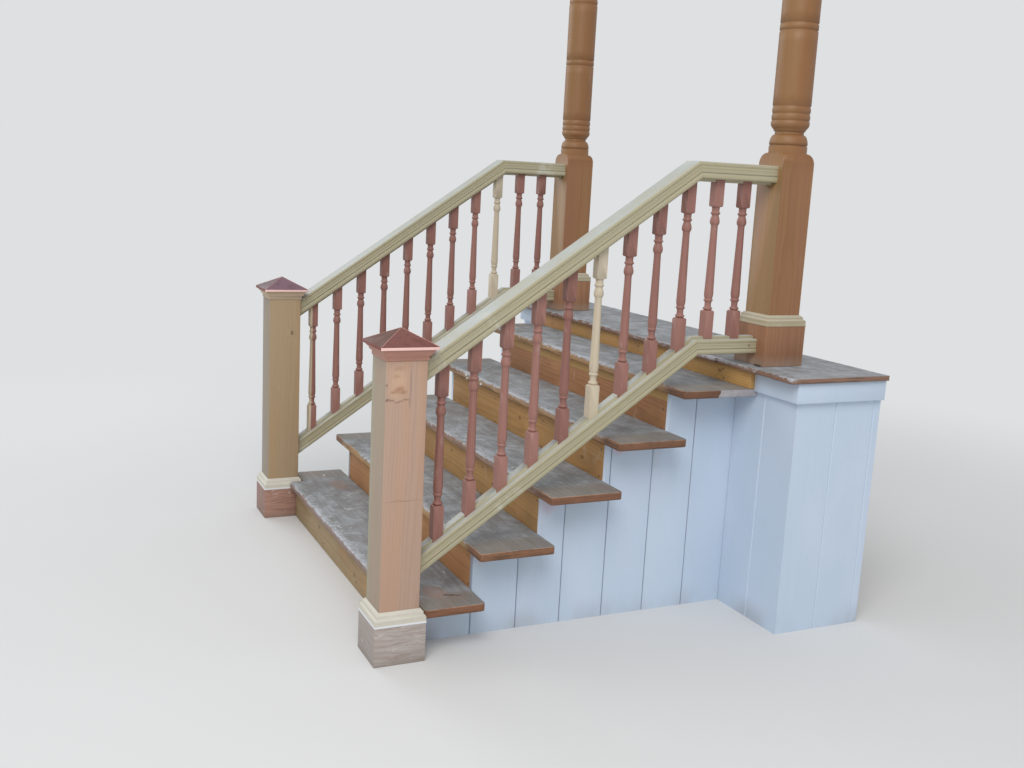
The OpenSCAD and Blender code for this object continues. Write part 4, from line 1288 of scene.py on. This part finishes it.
def head_tree():
    """Sets a low screw head at each point, facing along the point's own direction."""
    tree, given = growing_tree("screw_heads", Places="Geometry", Head_radius="Float",
                               Head_height="Float", Sides="Int")
    narrow = calc(tree, "MULTIPLY", given["Head radius"], 0.7)
    head = wired(tree, "GeometryNodeMeshCone", Vertices=given["Sides"], Radius_Top=narrow,
                 Radius_Bottom=given["Head radius"], Depth=given["Head height"])
    aim = add(tree, "GeometryNodeInputNamedAttribute", "aim", data_type="FLOAT_VECTOR")
    turn = wired(tree, "FunctionNodeAlignRotationToVector", Vector=aim.outputs[0])
    spread = wired(tree, "GeometryNodeInstanceOnPoints", Points=given["Places"],
                   Instance=head.outputs[0], Rotation=turn.outputs[0])
    return ended(tree, spread.outputs[0], given["Finish"])


def dull_steel(tree):
    here = own_place(tree)
    rust = cloudy(tree, here, (90.0, 90.0, 90.0), 3.0)
    return mix(tree, ease(tree, rust, 0.4, 0.65), shade(120, 116, 110), shade(104, 72, 52)), rust


def dark_steel(tree):
    here = own_place(tree)
    scale = cloudy(tree, here, (120.0, 120.0, 120.0), 3.0)
    return mix(tree, scale, shade(58, 54, 52), shade(92, 84, 78)), scale


def places_mesh(places):
    """A mesh of lone points, each (place, direction)."""
    mesh = bpy.data.meshes.new("places")
    mesh.from_pydata([p for p, _ in places], [], [])
    aim = mesh.attributes.new("aim", "FLOAT_VECTOR", "POINT")
    aim.data.foreach_set("vector", [c for _, a in places for c in a])
    return mesh


HEAD_RADIUS = 0.004
HEAD_HEIGHT = 0.0016
NAIL_RADIUS = 0.003
NAIL_HEIGHT = 0.002
HEAD_SIDES = 12
HALF_STRINGER = 0.019
MIDDLE_STRINGER_X = 0.235
RISER_SCREW_INSET = 0.035
STRAY_X, STRAY_Z = 0.008, 0.006
stringer_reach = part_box("stringers")[1].x - HALF_STRINGER
STRINGER_LINES = (-stringer_reach, -MIDDLE_STRINGER_X, MIDDLE_STRINGER_X, stringer_reach)
draw = random.Random(12)
riser_places = []
for step in range(1, 7):
    low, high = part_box(f"riser_{step}")
    inset = min(RISER_SCREW_INSET, (high.z - low.z) * 0.22)
    for x in STRINGER_LINES:
        for z in (low.z + inset, high.z - inset):
            place = Vector((x + draw.uniform(-STRAY_X, STRAY_X), low.y,
                            z + draw.uniform(-STRAY_Z, STRAY_Z)))
            riser_places.append((place, (0.0, -1.0, 0.0)))
screws = head_tree()
steel = finished("dull_screw_steel", dull_steel, roughness=0.45, bump=0.0002, Metallic=0.7)
grown("riser_screws", places_mesh(riser_places), screws, steel, "fir_riser",
      Head_radius=HEAD_RADIUS, Head_height=HEAD_HEIGHT, Sides=HEAD_SIDES)

DECK_SCREW_BACK = 0.045
DECK_SCREW_INSET = 0.028
NARROWEST_SCREWED = 2.5 * DECK_SCREW_INSET
DECK_STRAY_X, DECK_STRAY_Y = 0.004, 0.005
deck_places = []
whole_deck = copied("deck_boards")
for solid in solids_of(whole_deck):
    board_low = min(v.co.x for v in solid)
    board_high = max(v.co.x for v in solid)
    if board_high - board_low < NARROWEST_SCREWED:
        continue
    for x in (board_low + DECK_SCREW_INSET, board_high - DECK_SCREW_INSET):
        stray_x = draw.uniform(-DECK_STRAY_X, DECK_STRAY_X)
        stray_y = draw.uniform(-DECK_STRAY_Y, DECK_STRAY_Y)
        deck_places.append((Vector((x + stray_x, deck_low.y + DECK_SCREW_BACK + stray_y,
                                    deck_high.z - HEAD_HEIGHT)), (0.0, 0.0, 1.0)))
whole_deck.free()
grown("deck_screws", places_mesh(deck_places), screws, steel, "weathered_deck",
      Head_radius=HEAD_RADIUS, Head_height=HEAD_HEIGHT, Sides=HEAD_SIDES)

# A nail that stands proud near the end of the right level foot rail
NAIL_FROM_END = 0.035
rail_low, rail_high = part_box("right_level_foot_rail")
nail_place = Vector((rail_high.x, rail_high.y - NAIL_FROM_END, (rail_low.z + rail_high.z) / 2))
grown("foot_rail_nail", places_mesh([(nail_place, (1.0, 0.0, 0.0))]), screws, steel, "rail_pine",
      Head_radius=NAIL_RADIUS, Head_height=NAIL_HEIGHT, Sides=HEAD_SIDES)

# The lip of a flat steel foot plate that shows under the right plinth's front corner
LIP_LONG, LIP_DEEP, LIP_THICK = 0.034, 0.012, 0.004
LIP_IN, LIP_UNDER = 0.030, 0.001
LIP_CORNER, LIP_EDGE = 0.004, 0.0008
plinth_corner = Vector((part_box("post_plinths")[1].x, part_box("post_plinths")[0].y, deck_high.z))
lip = bmesh.new()
bmesh.ops.create_cube(lip, size=1.0)
bmesh.ops.scale(lip, verts=lip.verts, vec=(LIP_LONG, LIP_DEEP, LIP_THICK))
bmesh.ops.translate(lip, verts=lip.verts, vec=plinth_corner + Vector((
    -LIP_IN, -LIP_DEEP / 2 + LIP_UNDER, LIP_THICK / 2)))
eased(lip, LIP_CORNER, 4, upright, clamp=False)
eased(lip, LIP_EDGE, 2)
plate_steel = finished("dark_plate_steel", dark_steel, roughness=0.5, bump=0.0002, Metallic=0.5)
placed("foot_plate_lip", lip, plate_steel, "plinth_wood")


# Stage: a plain pale floor and sky round the stair, soft light from above, and the camera in
# the photograph's place, a little over three metres off the right newel.

FLOOR_TONE = (0.72, 0.72, 0.72, 1.0)
FLOOR_REACH = 60
FADE_START, FADE_END = 2.0, 5.5
SKY_TONE = (0.735, 0.745, 0.755, 1.0)
SKY_LIGHT = (0.95, 0.975, 1.0, 1.0)
SKY_STRENGTH = 0.66

floor_mesh = bpy.data.meshes.new("floor")
floor_mesh.from_pydata([(x * FLOOR_REACH, y * FLOOR_REACH, 0)
                        for x, y in ((-1, -1), (1, -1), (1, 1), (-1, 1))], [], [(0, 1, 2, 3)])
floor = bpy.data.objects.new("floor", floor_mesh)
bpy.context.scene.collection.objects.link(floor)
ground = bpy.data.materials.new("pale_floor")
ground.use_nodes = True
tree = ground.node_tree
tree.nodes.clear()
matte = add(tree, "ShaderNodeBsdfDiffuse", FLOOR_TONE)
far = add(tree, "ShaderNodeEmission", SKY_TONE, 1.0)
reach = vector_calc(tree, "LENGTH", own_place(tree))
camera_ray = add(tree, "ShaderNodeLightPath").outputs["Is Camera Ray"]
fade = calc(tree, "MULTIPLY", ease(tree, reach, FADE_START, FADE_END), camera_ray)
shown = add(tree, "ShaderNodeMixShader", fade, matte.outputs[0], far.outputs[0])
add(tree, "ShaderNodeOutputMaterial", shown.outputs[0])
floor_mesh.materials.append(ground)

world = bpy.data.worlds.new("soft_sky")
bpy.context.scene.world = world
world.use_nodes = True
tree = world.node_tree
tree.nodes.clear()
path = add(tree, "ShaderNodeLightPath")
seen = calc(tree, "MAXIMUM", path.outputs["Is Camera Ray"], calc(
    tree, "MAXIMUM", path.outputs["Is Glossy Ray"], path.outputs["Is Transmission Ray"]))
sky = add(tree, "ShaderNodeBackground", SKY_LIGHT, SKY_STRENGTH)
backdrop = add(tree, "ShaderNodeBackground", SKY_TONE, 1.0)
shown = add(tree, "ShaderNodeMixShader", seen, sky.outputs[0], backdrop.outputs[0])
add(tree, "ShaderNodeOutputWorld", shown.outputs[0])


def lamp(name, place, aim, size, power, colour):
    light = bpy.data.lights.new(name, "AREA")
    light.shape = "DISK"
    light.size = size
    light.energy = power
    light.color = colour
    made = bpy.data.objects.new(name, light)
    bpy.context.scene.collection.objects.link(made)
    made.location = place
    made.rotation_euler = (Vector(aim) - Vector(place)).to_track_quat("-Z", "Y").to_euler()


lamp("high_soft_light", (5.0, -3.2, 6.2), (0.0, 0.0, 0.8), 4.5, 280, (1.0, 0.985, 0.96))
lamp("side_fill", (-5.0, -2.5, 3.6), (0.0, 0.0, 0.8), 3.5, 80, (0.95, 0.97, 1.0))

CAMERA_PLACE = Vector((4.048, -1.970, 1.580))
YAW, PITCH, ROLL = math.radians(64.53), math.radians(-10.53), math.radians(2.97)
FOCAL_PIXELS = 1072.0
FRAME_PIXELS = 1024
SENSOR = 36.0
forward = Vector((-math.sin(YAW) * math.cos(PITCH), math.cos(YAW) * math.cos(PITCH),
                  math.sin(PITCH)))
level_right = Vector((math.cos(YAW), math.sin(YAW), 0.0))
level_up = level_right.cross(forward)
right = level_right * math.cos(ROLL) + level_up * math.sin(ROLL)
up = level_up * math.cos(ROLL) - level_right * math.sin(ROLL)
camera_data = bpy.data.cameras.new("camera")
camera_data.sensor_fit = "HORIZONTAL"
camera_data.sensor_width = SENSOR
camera_data.lens = SENSOR * FOCAL_PIXELS / FRAME_PIXELS
camera = bpy.data.objects.new("camera", camera_data)
bpy.context.scene.collection.objects.link(camera)
turned = Matrix((right, up, -forward)).transposed().to_4x4()
camera.matrix_world = Matrix.Translation(CAMERA_PLACE) @ turned
bpy.context.scene.camera = camera
bpy.context.scene.view_settings.view_transform = "Standard"
